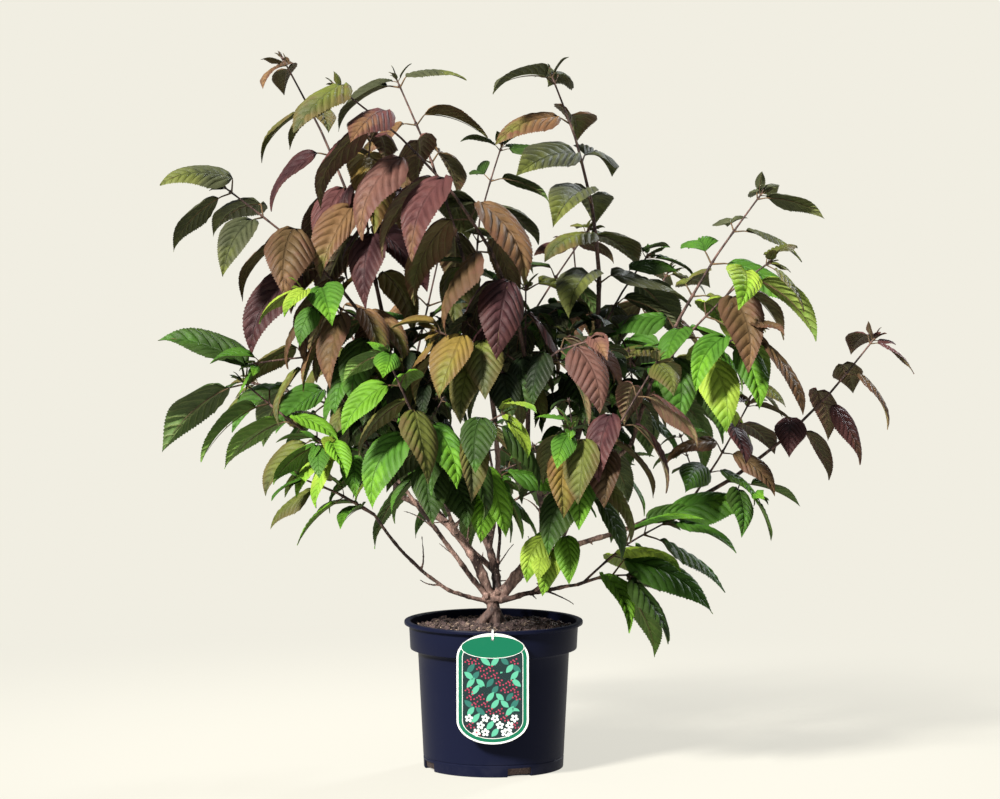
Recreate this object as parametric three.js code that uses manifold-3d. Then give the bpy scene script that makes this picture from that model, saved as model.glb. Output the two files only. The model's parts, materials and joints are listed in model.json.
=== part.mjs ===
// A snowball viburnum growing in its nursery pot, in millimetres, +Z up.
// The origin is the centre of the pot's flat underside, and the pot's front faces -Y.
//
// A short trunk with flared roots forks just above the soil into tapering boughs. A mass of foliage
// grows on from each bough: three-sided twigs that carry leaves in opposite pairs, fused into one solid.
// The leaves are placed by a seeded rule, and one that would touch a neighbour is turned, or left out.

import * as THREE from "three";
import { mergeVertices } from "three/addons/utils/BufferGeometryUtils.js";
import Module from "manifold-3d";

const wasm = await Module();
wasm.setup();
const { Manifold, Mesh } = wasm;

// ---------------------------------------------------------------- driving dimensions

const GAP = 0.3; // clear space between neighbouring pieces
const CUT = 0.42; // how far a faceted limb is widened to cut its neighbours that much clear
const LEAF_GAP = 1.5; // clear space around a leaf's blade
const SEED = 1009; // each mass takes its own multiple of it

const POT = {
  height: 186,
  lipRadius: 112.5,
  lipHeight: 5,
  lipRound: 1.5, // bevel of the lip's edges
  bandTopRadius: 106.5,
  bandFootRadius: 105,
  bandHeight: 36, // from the rim down to the step
  bodyTopRadius: 95.5,
  footRadius: 88,
  wall: 2,
  floor: 2.5,
  sides: 28,
};

const DRAIN = { count: 4, width: 32, height: 11, depth: 9, firstTurn: 22 }; // slots in the pot's lower edge

const SOIL = { edgeHeight: 173, moundHeight: 180, moundRadius: 62, flatRadius: 42 };

const LABEL = {
  width: 89,
  height: 139,
  thickness: 1.2,
  endRise: 30, // height of the elliptic ends
  top: 184.5,
  middle: -1, // its middle stands this far from the pot's
  tilt: 2, // degrees, its foot leans towards the pot
  holeRadius: 2.2,
  holeDrop: 7, // from the top edge down to the hole
};

const TIE = { width: 2.6, thickness: 1, reach: 9.6, depth: 10 }; // the hook that holds the label on the rim

const TRUNK = {
  foot: [3, -8, SOIL.moundHeight + GAP],
  head: [-2, 0, 214],
  bow: [1, -1, 0],
  footRadius: 10.5,
  neckRadius: 7.5,
  headRadius: 12.5,
  headShape: [1.15, 1, 0.72], // the head is a flattened ball
  sunk: 12, // the stem is drawn from this far below its foot, then cut flat
  sides: 8,
  stepLength: 16,
};

// Surface roots that flare from the trunk: turn in degrees from +X, reach along the soil, foot radius.
const ROOTS = [
  { turn: 186, reach: 34, radius: 6.5, rise: 22 },
  { turn: 285, reach: 15, radius: 5.5, rise: 18 },
  { turn: 20, reach: 20, radius: 5, rise: 17 },
  { turn: 100, reach: 22, radius: 5.5, rise: 19 },
];

// Each bough is one tapering limb. Its foot is a point of the trunk's head, or lies on another bough at a
// share of that one's length. bow moves its middle off the straight line from foot to tip.
const BOUGHS = {
  left_thick: { foot: [-5, 0, 215], tip: [-122, -30, 347], bow: [16, 4, 16], radii: [7.5, 3.8] },
  right_thick: { foot: [6, -3, 214], tip: [88, -16, 366], bow: [10, -6, -4], radii: [8.5, 4.6] },
  left_back: { foot: [4, 5, 216], tip: [-75, 24, 384], bow: [22, 16, -8], radii: [6.5, 3.4] },
  left_straight: { foot: [-7, -6, 214], tip: [-121, -62, 372], bow: [2, -4, -2], radii: [3.9, 2.6] },
  left_low: { foot: [-7, -7, 211], tip: [-147, -78, 327], bow: [-2, 0, -24], radii: [3, 2.2] },
  right_low: { foot: [8, -7, 211], tip: [104, -62, 238], bow: [0, -4, 2], radii: [4.2, 2.4] },
  right_rising: { parent: "right_thick", from: 0.4, tip: [236, 20, 326], bow: [-6, 4, -8], radii: [4.4, 3] },
  right_high: { parent: "right_thick", from: 0.84, tip: [172, -14, 408], bow: [0, -2, -4], radii: [4, 3] },
  front: { parent: "right_thick", from: 0.55, tip: [42, -84, 420], bow: [6, -10, 0], radii: [4.2, 3.2] },
  back_top: { parent: "left_back", from: 0.4, tip: [2, 66, 430], bow: [6, 10, -4], radii: [4.6, 3.4] },
  front_left: { parent: "left_thick", from: 0.5, tip: [-56, -112, 336], bow: [4, -9, -6], radii: [3.6, 2.6] },
  front_right: { parent: "right_low", from: 0.4, tip: [86, -128, 306], bow: [4, -8, -9], radii: [3, 2.4] },
  back_left: { parent: "left_back", from: 0.2, tip: [-86, 112, 330], bow: [0, 12, -8], radii: [4.4, 2.8] },
  back_right: { foot: [7, 6, 213], tip: [92, 106, 330], bow: [0, 8, -14], radii: [4.6, 2.8] },
  back_low: { foot: [0, 8, 211], tip: [8, 114, 282], bow: [0, 4, -14], radii: [3.6, 2.4] },
};

// What a shoot has where MASSES states nothing else. pairs is the number of leaf pairs above the share
// "bare", leaf the length of the largest leaf, hang how far the blades droop (0 to 1), twist the turn of the
// first pair and turn that between pairs. end is the scale of the youngest leaves, lift the angle between
// twig and leaf stalk, and spurs the number of short side twigs.
const SHOOT = {
  bow: [0, 0, 0], pairs: 4, bare: 0.3, leaf: 100, hang: 0.85,
  twist: 30, turn: 64, end: 0.6, lift: 58, spurs: 0,
};

// Shoots of each mass. The first grows on from the bough's tip, the others leave it at the share "from".
const MASSES = {
  upper_left: {
    bough: "left_thick",
    shoots: [
      {
        tip: [-265, 60, 889], bow: [44, 0, 0], pairs: 9, bare: 0.2, leaf: 118, hang: 0.95,
        twist: 10, turn: 66, spurs: 1,
      },
      {
        from: 0.5, tip: [-152, -44, 792], bow: [-8, -14, 0], pairs: 5, leaf: 112, hang: 1,
        twist: 60, turn: 80, end: 0.95,
      },
    ],
  },
  front_arch: {
    bough: "front",
    shoots: [
      {
        tip: [-191, -170, 857], bow: [70, 0, 20], pairs: 9, bare: 0.2, leaf: 120, hang: 1,
        twist: 66, turn: 58, end: 0.9, spurs: 1,
      },
      { from: 0.16, tip: [118, -158, 548], bow: [0, -8, 10], leaf: 96, hang: 1, turn: 70 },
      { from: 0.1, tip: [-66, -170, 560], bow: [0, -8, 14], hang: 1, turn: 70 },
    ],
  },
  left_arch: {
    bough: "left_back",
    shoots: [
      {
        tip: [-335, -60, 734], bow: [44, -6, 10], pairs: 8, leaf: 116, hang: 0.9, twist: 24,
        turn: 62, end: 0.85,
      },
      {
        from: 0.36, tip: [-232, -138, 608], bow: [10, -6, 10], pairs: 5, leaf: 104, hang: 0.95,
        twist: 70, turn: 74,
      },
      {
        from: 0.3, tip: [-292, -92, 516], bow: [0, -4, 16], pairs: 3, bare: 0.35, leaf: 92,
        hang: 0.8, twist: 10, turn: 60,
      },
    ],
  },
  left_spray: {
    bough: "left_straight",
    shoots: [
      {
        tip: [-312, -72, 494], bow: [0, -4, -14], pairs: 6, bare: 0.2, hang: 0.55, twist: 94,
        turn: 78, end: 1.25,
      },
      {
        from: 0.2, tip: [-214, -150, 424], bow: [0, -6, 4], bare: 0.35, leaf: 82, hang: 0.7,
        twist: 40, turn: 60,
      },
      {
        from: 0.1, tip: [-176, -44, 486], bow: [-8, 8, 0], bare: 0.25, leaf: 88, hang: 0.7,
        twist: 0, turn: 70,
      },
    ],
  },
  left_low: {
    bough: "left_low",
    shoots: [
      {
        tip: [-236, -112, 376], bow: [0, 0, 4], bare: 0.14, leaf: 80, hang: 0.25, twist: 24,
        turn: 56, end: 0.9,
      },
    ],
  },
  top: {
    bough: "right_thick",
    shoots: [
      {
        tip: [71, 60, 874], bow: [53, 0, 0], pairs: 9, bare: 0.18, leaf: 122, hang: 0.5,
        twist: 84, turn: 14, end: 0.9, spurs: 1,
      },
      {
        from: 0.34, tip: [196, 96, 640], bow: [0, 8, 6], pairs: 3, bare: 0.35, hang: 0.6,
        twist: 20, turn: 60,
      },
    ],
  },
  back_top: {
    bough: "back_top",
    shoots: [
      {
        tip: [-125, 120, 867], bow: [20, 0, 0], pairs: 8, bare: 0.2, leaf: 112, hang: 0.8,
        twist: 82, turn: 28, end: 0.8,
      },
      {
        from: 0.14, tip: [11, 170, 781], bow: [-26, 0, 0], pairs: 6, leaf: 96, hang: 0.4,
        twist: 84, turn: 14,
      },
      {
        from: 0.1, tip: [122, 130, 673], bow: [-4, 12, 0], pairs: 3, bare: 0.4, leaf: 90,
        hang: 0.6, turn: 60,
      },
    ],
  },
  right_high: {
    bough: "right_high",
    shoots: [
      {
        tip: [339, 40, 723], bow: [-22, 0, 0], pairs: 7, bare: 0.2, leaf: 104, hang: 0.5,
        twist: 84, turn: 14, end: 0.75, spurs: 1,
      },
      {
        from: 0.24, tip: [340, -80, 640], bow: [0, -10, 16], pairs: 5, leaf: 114, hang: 0.75,
        twist: 40, turn: 60,
      },
      {
        from: 0.14, tip: [318, -112, 556], bow: [0, -8, 18], bare: 0.35, leaf: 112, hang: 0.9,
        twist: 60, turn: 66, end: 0.85,
      },
    ],
  },
  right_far: {
    bough: "right_rising",
    shoots: [
      {
        tip: [480, 20, 541], bow: [6, 0, -22], bare: 0.56, leaf: 88, hang: 0.9, twist: 84,
        turn: 24, end: 0.8,
      },
      {
        from: 0.04, tip: [318, -34, 462], bow: [0, -4, -6], bare: 0.34, leaf: 86, hang: 0.6,
        turn: 66,
      },
      {
        from: 0.22, tip: [326, -8, 346], bow: [0, 0, 6], pairs: 2, bare: 0.5, leaf: 92,
        hang: 0.15, twist: 0, turn: 60,
      },
    ],
  },
  right_low: {
    bough: "right_low",
    shoots: [
      {
        tip: [166, -92, 254], bow: [0, 0, 4], pairs: 3, bare: 0.4, leaf: 126, hang: 0.7,
        turn: 60, end: 0.95, lift: 46,
      },
      {
        from: 0.1, tip: [214, -34, 312], bow: [0, 4, 8], leaf: 112, hang: 0.35, twist: 12,
        turn: 50, end: 0.9, lift: 46,
      },
    ],
  },
  front_left: {
    bough: "front_left",
    shoots: [
      {
        tip: [-128, -262, 540], bow: [10, -30, -10], pairs: 6, bare: 0.26, hang: 0.9, twist: 10,
        turn: 66, spurs: 1,
      },
      { from: 0.3, tip: [12, -286, 470], bow: [0, -8, 12], leaf: 96, hang: 0.95, twist: 50, turn: 70 },
      {
        from: 0.14, tip: [8, -190, 384], bow: [0, -10, 10], pairs: 3, bare: 0.4, leaf: 96,
        hang: 0.95, twist: 20, turn: 60, end: 0.85,
      },
    ],
  },
  front_right: {
    bough: "front_right",
    shoots: [
      {
        tip: [196, -252, 530], bow: [-14, -30, -10], pairs: 6, bare: 0.26, leaf: 102, hang: 0.95,
        turn: 66,
      },
      { from: 0.3, tip: [92, -262, 450], bow: [0, -8, 10], leaf: 94, hang: 1, twist: 70, turn: 60 },
      {
        from: 0.06, tip: [64, -186, 296], bow: [0, -10, 8], pairs: 3, bare: 0.4, leaf: 70,
        hang: 1, twist: 10, turn: 70, end: 0.9,
      },
    ],
  },
  back_left: {
    bough: "back_left",
    shoots: [
      { tip: [-236, 300, 610], bow: [10, 30, -10], pairs: 6, bare: 0.2, leaf: 108, twist: 10 },
      { from: 0.24, tip: [-312, 196, 470], bow: [0, 8, 12], leaf: 102, hang: 0.75, turn: 60 },
      { from: 0.3, tip: [-66, 262, 660], bow: [0, 14, 0], pairs: 3, leaf: 102, twist: 50, turn: 70 },
      {
        from: 0.14, tip: [-170, 96, 560], bow: [-10, 0, 0], pairs: 3, bare: 0.35, leaf: 96,
        hang: 0.8, twist: 20,
      },
    ],
  },
  back_right: {
    bough: "back_right",
    shoots: [
      { tip: [232, 300, 612], bow: [-10, 30, -10], pairs: 6, bare: 0.2, leaf: 108, twist: 40 },
      {
        from: 0.24, tip: [334, 212, 470], bow: [0, 8, 12], leaf: 102, hang: 0.75, twist: 10,
        turn: 60,
      },
      { from: 0.3, tip: [104, 250, 650], bow: [0, 14, 0], pairs: 3, leaf: 102, twist: 60, turn: 70 },
    ],
  },
  back_low: {
    bough: "back_low",
    shoots: [
      {
        tip: [-10, 356, 388], bow: [0, 10, 10], pairs: 5, bare: 0.24, leaf: 104, hang: 0.75,
        twist: 10, turn: 56,
      },
      {
        from: 0.2, tip: [-160, 262, 352], bow: [0, 10, 8], pairs: 3, bare: 0.34, leaf: 98,
        hang: 0.7, turn: 56,
      },
      {
        from: 0.2, tip: [166, 258, 356], bow: [0, 10, 8], pairs: 3, bare: 0.34, leaf: 98,
        hang: 0.7, twist: 20, turn: 56,
      },
    ],
  },
};

const TWIG = { sides: 3, sideRadius: 2, tipRadius: 1.2, stepLength: 90 };

// The short side twigs that a shoot bears by rule, with the parts that chance has in them.
const SPUR = {
  length: 100,
  shortening: 0.3, // by how much a spur at the shoot's tip is shorter than one at its foot
  radius: 1.7,
  first: 0.06, // shares of the shoot between which spurs stand
  last: 0.72,
  leaving: 48, // degrees from the shoot
  turn: 137.5, // degrees about the shoot, as between all its leaf pairs
  sag: 0.05, // how far its middle hangs, for one unit of length
  pairs: 2,
  bare: 0.5,
  leafShare: 0.86,
  chance: { from: 0.3, turn: 40, length: 0.25 },
};

const BOUGH = { sides: 6, stepLength: 42 };
const ROOT = { sides: 6, stepLength: 20, taper: 0.7, dip: 5, bow: [0, 0, -2] };

const LEAF = {
  stalkShare: 0.17, // length of the stalk for one unit of blade
  stalkRadii: [0.5, 1.2],
  rootOffset: 0.2, // the stalk starts this far from the twig's axis
  halfWidths: { 0.28: 0.27, 0.64: 0.2 }, // half width at shares of the blade, for one unit of length
  smallHalfWidths: { 0.4: 0.27 }, // the same for a blade shorter than smallLength
  smallLength: 68,
  keel: 1.2, // the midrib stands this far below the blade
  fold: 6, // degrees that each half rises from the midrib
  stalkFold: 30,
  collar: 2, // least length of the stalk
};

// How the leaves of a shoot stand, in degrees where no other unit is told.
const STANCE = {
  lastNode: 0.97, // share of the shoot where its youngest pair stands
  grown: 0.6, // share of the pairs where the leaves are largest
  footScale: 0.84, // scale of the oldest leaves
  youngHang: 0.45, // share of the droop that the youngest leaves lack
  follow: 0.3, // how far a leaf points along its twig
  hangingPitch: -35, // slope of a fully drooping blade at its foot
  hangingTip: -88, // and at its tip
  levelBend: 0.5, // radians that a blade bends where it doesn't hang
  leastBend: 0.1,
  chance: { pairTurn: 12, turn: 10, length: 0.12, hang: 0.1, heading: 22, roll: 32 },
};

// Tries for a leaf's place: turn about the upright in degrees, and scale.
const TRIES = [[0, 1], [26, 1], [-26, 1], [52, 0.95], [-52, 0.95], [80, 0.88], [-80, 0.88]];

// ---------------------------------------------------------------- small tools

const vec = (a) => new THREE.Vector3(...a);
const UP = new THREE.Vector3(0, 0, 1);
const radians = THREE.MathUtils.degToRad;
const mix = THREE.MathUtils.lerp;

// The minimal standard generator, which gives the same numbers in any language.
function randomStream(seed) {
  const modulus = 2 ** 31 - 1;
  const multiplier = 7 ** 5;
  let state = seed;
  return () => {
    state = (state * multiplier) % modulus;
    return state / modulus;
  };
}

// Draws between -1 and 1.
const drawMany = (random, count) => Array.from({ length: count }, () => 2 * random() - 1);

function solidOf(geometry) {
  const bare = geometry.clone();
  bare.deleteAttribute("normal");
  bare.deleteAttribute("uv");
  const merged = mergeVertices(bare, 1e-4);
  const index = merged.index.array;
  const faces = [];
  for (let i = 0; i < index.length; i += 3) {
    const [a, b, c] = index.subarray(i, i + 3);
    if (a !== b && b !== c && c !== a) faces.push(a, b, c);
  }
  const vertProperties = merged.attributes.position.array;
  return new Manifold(new Mesh({ numProp: 3, vertProperties, triVerts: new Uint32Array(faces) }));
}

function geometryOf(solid) {
  const mesh = solid.getMesh();
  const geometry = new THREE.BufferGeometry();
  geometry.setAttribute("position", new THREE.BufferAttribute(mesh.vertProperties, 3));
  geometry.setIndex(new THREE.BufferAttribute(mesh.triVerts, 1));
  geometry.computeVertexNormals();
  return geometry;
}

// The largest of a solid's bodies: a cut may leave loose scraps, and fusing may seal a hollow.
function wholePiece(solid) {
  return solid.decompose().reduce((best, body) => (body.volume() > best.volume() ? body : best));
}

function boxesMeet(a, b, reach) {
  return [0, 1, 2].every((k) => a.min[k] - reach < b.max[k] && b.min[k] - reach < a.max[k]);
}

const plant = new THREE.Group();

function addNode(name, solid, color, roughness) {
  const material = new THREE.MeshStandardMaterial({ color, roughness, metalness: 0, flatShading: true });
  const mesh = new THREE.Mesh(geometryOf(solid), material);
  mesh.name = name;
  plant.add(mesh);
}

// ---------------------------------------------------------------- limbs

// A curve whose middle stands off the straight line from foot to tip by bow.
function bowedCurve(foot, tip, bow) {
  const control = foot.clone().add(tip).multiplyScalar(0.5).addScaledVector(bow, 2);
  return new THREE.QuadraticBezierCurve3(foot, control, tip);
}

const stepCount = (curve, stepLength) => Math.max(2, Math.round(curve.v0.distanceTo(curve.v2) / stepLength));

// A cylinder bent along the curve in even steps, tapering from one radius to the other.
// grow widens it, and lengthens it by the gap at its ends, for cutting a neighbour clear of it.
function limbSolid(curve, radii, { sides, stepLength }, grow = 0) {
  const longer = Math.min(grow, GAP);
  const steps = stepCount(curve, stepLength);
  const geometry = new THREE.CylinderGeometry(1, 1, 1, sides, steps);
  const chord = curve.v2.clone().sub(curve.v0).normalize();
  const across = chord.clone().cross(Math.abs(chord.x) < 0.7 ? vec([1, 0, 0]) : vec([0, 1, 0])).normalize();
  const place = geometry.attributes.position;
  for (let i = 0; i < place.count; i++) {
    const share = Math.round((place.getY(i) + 0.5) * steps) / steps;
    const radius = mix(...radii, share) + grow;
    const tangent = curve.getTangent(share);
    const side = across.clone().addScaledVector(tangent, -across.dot(tangent)).normalize();
    const point = curve
      .getPoint(share)
      .addScaledVector(side, place.getX(i) * radius)
      .addScaledVector(tangent.clone().cross(side), -place.getZ(i) * radius);
    if (share === 0) point.addScaledVector(tangent, -longer);
    if (share === 1) point.addScaledVector(tangent, longer);
    place.setXYZ(i, point.x, point.y, point.z);
  }
  return solidOf(geometry);
}

// ---------------------------------------------------------------- pot, soil, label

function lathe(profile, sides) {
  const points = profile.map(([r, z]) => new THREE.Vector2(r, z));
  return solidOf(new THREE.LatheGeometry(points, sides).rotateX(Math.PI / 2));
}

const bandFoot = POT.height - POT.bandHeight;

// The pot's inner wall from the floor up to a height on its band, moved in by clear.
function innerWall(clear, top) {
  const inset = POT.wall + clear;
  const bandRadius = mix(POT.bandFootRadius, POT.bandTopRadius, (top - bandFoot) / POT.bandHeight);
  return [
    [POT.footRadius - inset, POT.floor + clear],
    [POT.bodyTopRadius - inset, bandFoot + POT.wall + 2 * clear],
    [POT.bandFootRadius - inset, bandFoot + 2 * POT.wall + 2 * clear],
    [bandRadius - inset, top],
  ];
}

function potSolid() {
  const lipFoot = POT.height - POT.lipHeight;
  const profile = [
    [0, 0],
    [POT.footRadius, 0],
    [POT.bodyTopRadius, bandFoot - POT.wall],
    [POT.bandFootRadius, bandFoot],
    [POT.bandTopRadius, lipFoot - POT.lipRound],
    [POT.lipRadius - POT.lipRound, lipFoot],
    [POT.lipRadius, POT.height - POT.lipRound],
    [POT.lipRadius - POT.lipRound, POT.height],
    ...innerWall(0, POT.height).reverse(),
    [0, POT.floor],
  ];
  let pot = lathe(profile, POT.sides);
  for (let i = 0; i < DRAIN.count; i++) {
    const slot = new THREE.BoxGeometry(DRAIN.width, 2 * DRAIN.depth, 2 * DRAIN.height);
    slot.translate(0, -POT.footRadius, 0);
    slot.rotateZ(radians(DRAIN.firstTurn + (i * 360) / DRAIN.count));
    pot = pot.subtract(solidOf(slot));
  }
  return pot;
}

function soilSolid() {
  const profile = [
    [0, POT.floor + CUT],
    ...innerWall(CUT, SOIL.edgeHeight),
    [SOIL.moundRadius, mix(SOIL.edgeHeight, SOIL.moundHeight, 0.6)],
    [SOIL.flatRadius, SOIL.moundHeight],
    [0, SOIL.moundHeight],
  ];
  return lathe(profile, POT.sides);
}

// The label stands just clear of the lip. Its local frame has its top edge at z = 0 and its back at y = 0.
function placeLabel(geometry) {
  geometry.rotateX(radians(LABEL.tilt));
  return geometry.translate(LABEL.middle, -POT.lipRadius - 2 * GAP, LABEL.top);
}

function labelSolid() {
  const half = LABEL.width / 2;
  const outline = new THREE.Shape();
  outline.absellipse(0, -LABEL.endRise, half, LABEL.endRise, 0, Math.PI);
  outline.absellipse(0, LABEL.endRise - LABEL.height, half, LABEL.endRise, Math.PI, 2 * Math.PI);
  const hole = new THREE.Path();
  hole.absarc(0, -LABEL.holeDrop, LABEL.holeRadius, 0, 2 * Math.PI, true);
  outline.holes.push(hole);
  const settings = { depth: LABEL.thickness, bevelEnabled: false, curveSegments: 7 };
  const plate = new THREE.ExtrudeGeometry(outline, settings);
  return solidOf(placeLabel(plate.rotateX(Math.PI / 2)));
}

// A flat plastic hook: from the label's hole, up over the rim and down into the pot.
function tieSolid() {
  const front = -LABEL.thickness - GAP;
  const foot = -LABEL.holeDrop - TIE.thickness / 2;
  const top = POT.height - LABEL.top + GAP;
  const t = TIE.thickness;
  const outline = new THREE.Shape([
    new THREE.Vector2(GAP, foot),
    new THREE.Vector2(GAP, foot + t),
    new THREE.Vector2(front, foot + t),
    new THREE.Vector2(front, top),
    new THREE.Vector2(TIE.reach, top),
    new THREE.Vector2(TIE.reach, top - TIE.depth),
    new THREE.Vector2(TIE.reach + t, top - TIE.depth),
    new THREE.Vector2(TIE.reach + t, top + t),
    new THREE.Vector2(front - t, top + t),
    new THREE.Vector2(front - t, foot),
  ]);
  const strap = new THREE.ExtrudeGeometry(outline, { depth: TIE.width, bevelEnabled: false });
  strap.translate(0, 0, -TIE.width / 2).rotateX(Math.PI / 2).rotateZ(Math.PI / 2);
  return solidOf(placeLabel(strap));
}

// ---------------------------------------------------------------- trunk and boughs

function trunkSolid(grow) {
  const foot = vec(TRUNK.foot);
  const head = vec(TRUNK.head);
  const below = foot.clone().setZ(foot.z - TRUNK.sunk);
  const lean = bowedCurve(below, head, vec(TRUNK.bow));
  const stem = limbSolid(lean, [TRUNK.footRadius, TRUNK.neckRadius], TRUNK, grow);
  const knob = new THREE.SphereGeometry(TRUNK.headRadius + grow, TRUNK.sides, 5).rotateX(Math.PI / 2);
  knob.scale(...TRUNK.headShape).translate(head.x, head.y, head.z);
  const roots = ROOTS.map(({ turn, reach, radius, rise }) => {
    const end = vec([Math.cos(radians(turn)), Math.sin(radians(turn)), 0]).multiplyScalar(reach).add(foot);
    end.z -= ROOT.dip;
    const start = foot.clone().setZ(foot.z + rise);
    return limbSolid(bowedCurve(start, end, vec(ROOT.bow)), [radius, radius * ROOT.taper], ROOT, grow);
  });
  return Manifold.union([stem, solidOf(knob), ...roots]).trimByPlane([0, 0, 1], foot.z - grow);
}

const trunk = trunkSolid(0);
const boughs = {};
const cutters = [trunkSolid(CUT)];
for (const [name, { foot, parent, from, tip, bow, radii }] of Object.entries(BOUGHS)) {
  const start = parent ? boughs[parent].curve.getPoint(from) : vec(foot);
  const curve = bowedCurve(start, vec(tip), vec(bow));
  const solid = wholePiece(Manifold.difference([limbSolid(curve, radii, BOUGH), ...cutters]));
  cutters.push(limbSolid(curve, radii, BOUGH, CUT));
  boughs[name] = { curve, solid, grown: cutters.at(-1), tipRadius: radii[1] };
}

// ---------------------------------------------------------------- leaves

// Three points around a row: an edge, the other edge and the keel below.
function leafRow({ centre, along, over }, half, fold, keel) {
  const across = along.clone().cross(over).multiplyScalar(half * Math.cos(fold));
  const rise = half * Math.sin(fold);
  return [
    centre.clone().add(across).addScaledVector(over, rise),
    centre.clone().sub(across).addScaledVector(over, rise),
    centre.clone().addScaledVector(over, -keel),
  ];
}

// Rows of three joined into a closed body that ends in a point.
function rowsSolid(rows, end) {
  const corners = [...rows.flat(), end];
  const faces = [0, 1, 2];
  for (let a = 0; a < 3 * rows.length; a++) {
    const b = a % 3 === 2 ? a - 2 : a + 1;
    if (a < 3 * rows.length - 3) faces.push(a, a + 3, b, b, a + 3, b + 3);
    else faces.push(a, corners.length - 1, b);
  }
  const vertProperties = new Float32Array(corners.flatMap((p) => p.toArray()));
  return new Manifold(new Mesh({ numProp: 3, vertProperties, triVerts: new Uint32Array(faces) }));
}

// The blade bends evenly in an upright plane, from the pitch at its foot to that at its tip.
function bladeFrame(leaf, share) {
  const { base, heading, length, pitch, droop, roll } = leaf;
  const angle = pitch + droop * share;
  const centre = base
    .clone()
    .addScaledVector(heading, (length * (Math.sin(angle) - Math.sin(pitch))) / droop)
    .addScaledVector(UP, (length * (Math.cos(pitch) - Math.cos(angle))) / droop);
  const along = heading.clone().multiplyScalar(Math.cos(angle)).addScaledVector(UP, Math.sin(angle));
  const over = UP.clone().multiplyScalar(Math.cos(angle)).addScaledVector(heading, -Math.sin(angle));
  return { centre, along, over: over.applyAxisAngle(along, roll) };
}

function leafSolids(leaf) {
  const out = leaf.base.clone().sub(leaf.root).normalize();
  const over = UP.clone().addScaledVector(out, -out.z).normalize();
  const centre = leaf.root.clone().addScaledVector(out, LEAF.rootOffset);
  const [thin, thick] = LEAF.stalkRadii;
  const root = leafRow({ centre, along: out, over }, thin, radians(LEAF.stalkFold), thin);
  const foot = leafRow(bladeFrame(leaf, 0), thick, radians(LEAF.stalkFold), thick);
  const halfWidths = leaf.length < LEAF.smallLength ? LEAF.smallHalfWidths : LEAF.halfWidths;
  const rows = Object.entries(halfWidths).map(([share, half]) =>
    leafRow(bladeFrame(leaf, Number(share)), half * leaf.length, radians(LEAF.fold), LEAF.keel),
  );
  const end = bladeFrame(leaf, 1).centre;
  return { whole: rowsSolid([root, foot, ...rows], end), blade: rowsSolid([foot, ...rows], end) };
}

// A direction that leaves a stem at the angle lift, turned about it.
function leaving(along, lift, turn) {
  const side = along.clone().cross(UP);
  if (side.length() < 0.05) side.set(0, 1, 0);
  side.normalize();
  const over = side.clone().cross(along);
  const out = side.multiplyScalar(Math.cos(turn)).addScaledVector(over, Math.sin(turn));
  return out.multiplyScalar(Math.sin(lift)).addScaledVector(along, Math.cos(lift));
}

// The places of a shoot's leaves, each with the draws that its tries share.
function leafSlots(shoot, random) {
  const { grown, chance } = STANCE;
  const slots = [];
  for (let i = 0; i < shoot.pairs; i++) {
    const age = i / Math.max(1, shoot.pairs - 1);
    const youth = Math.max(0, (age - grown) / (1 - grown));
    const size = age < grown ? mix(STANCE.footScale, 1, age / grown) : mix(1, shoot.end, youth);
    const hang = shoot.hang * (1 - STANCE.youngHang * youth);
    const pairTurn = shoot.twist + i * shoot.turn + chance.pairTurn * drawMany(random, 1)[0];
    for (const half of [0, 180]) {
      const draws = drawMany(random, 5);
      slots.push({
        share: mix(shoot.bare, STANCE.lastNode, age),
        turn: radians(pairTurn + half + chance.turn * draws[0]),
        length: shoot.leaf * size * (1 + chance.length * draws[1]),
        hang: hang + chance.hang * draws[2],
        heading: radians(chance.heading * draws[3]),
        roll: radians(chance.roll * draws[4]),
      });
    }
  }
  return slots;
}

// A point of the axis of the solid twig, which runs straight from ring to ring.
function axisPoint(curve, share) {
  const steps = stepCount(curve, TWIG.stepLength);
  const ring = Math.min(Math.floor(share * steps), steps - 1);
  return curve.getPoint(ring / steps).lerp(curve.getPoint((ring + 1) / steps), share * steps - ring);
}

function placeLeaf({ curve, shoot }, slot, [turn, scale]) {
  const root = axisPoint(curve, slot.share);
  const along = curve.getTangent(slot.share);
  const out = leaving(along, radians(shoot.lift), slot.turn);
  const length = slot.length * scale;
  const heading = out.clone().addScaledVector(along, STANCE.follow).setZ(0).normalize();
  const rise = Math.asin(out.z);
  const pitch = mix(rise, radians(STANCE.hangingPitch), slot.hang);
  const droop = mix(rise - STANCE.levelBend, radians(STANCE.hangingTip), slot.hang) - pitch;
  return {
    root,
    base: root.clone().addScaledVector(out, length * LEAF.stalkShare + LEAF.collar),
    heading: heading.applyAxisAngle(UP, slot.heading + radians(turn)),
    length,
    pitch,
    droop: Math.min(droop, -STANCE.leastBend),
    roll: slot.roll,
  };
}

// ---------------------------------------------------------------- masses of foliage

function makeStem(start, shoot, radius) {
  const curve = bowedCurve(start, vec(shoot.tip), vec(shoot.bow));
  const solid = limbSolid(curve, [radius, TWIG.tipRadius], TWIG);
  return { shoot, curve, solid, box: solid.boundingBox() };
}

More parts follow.
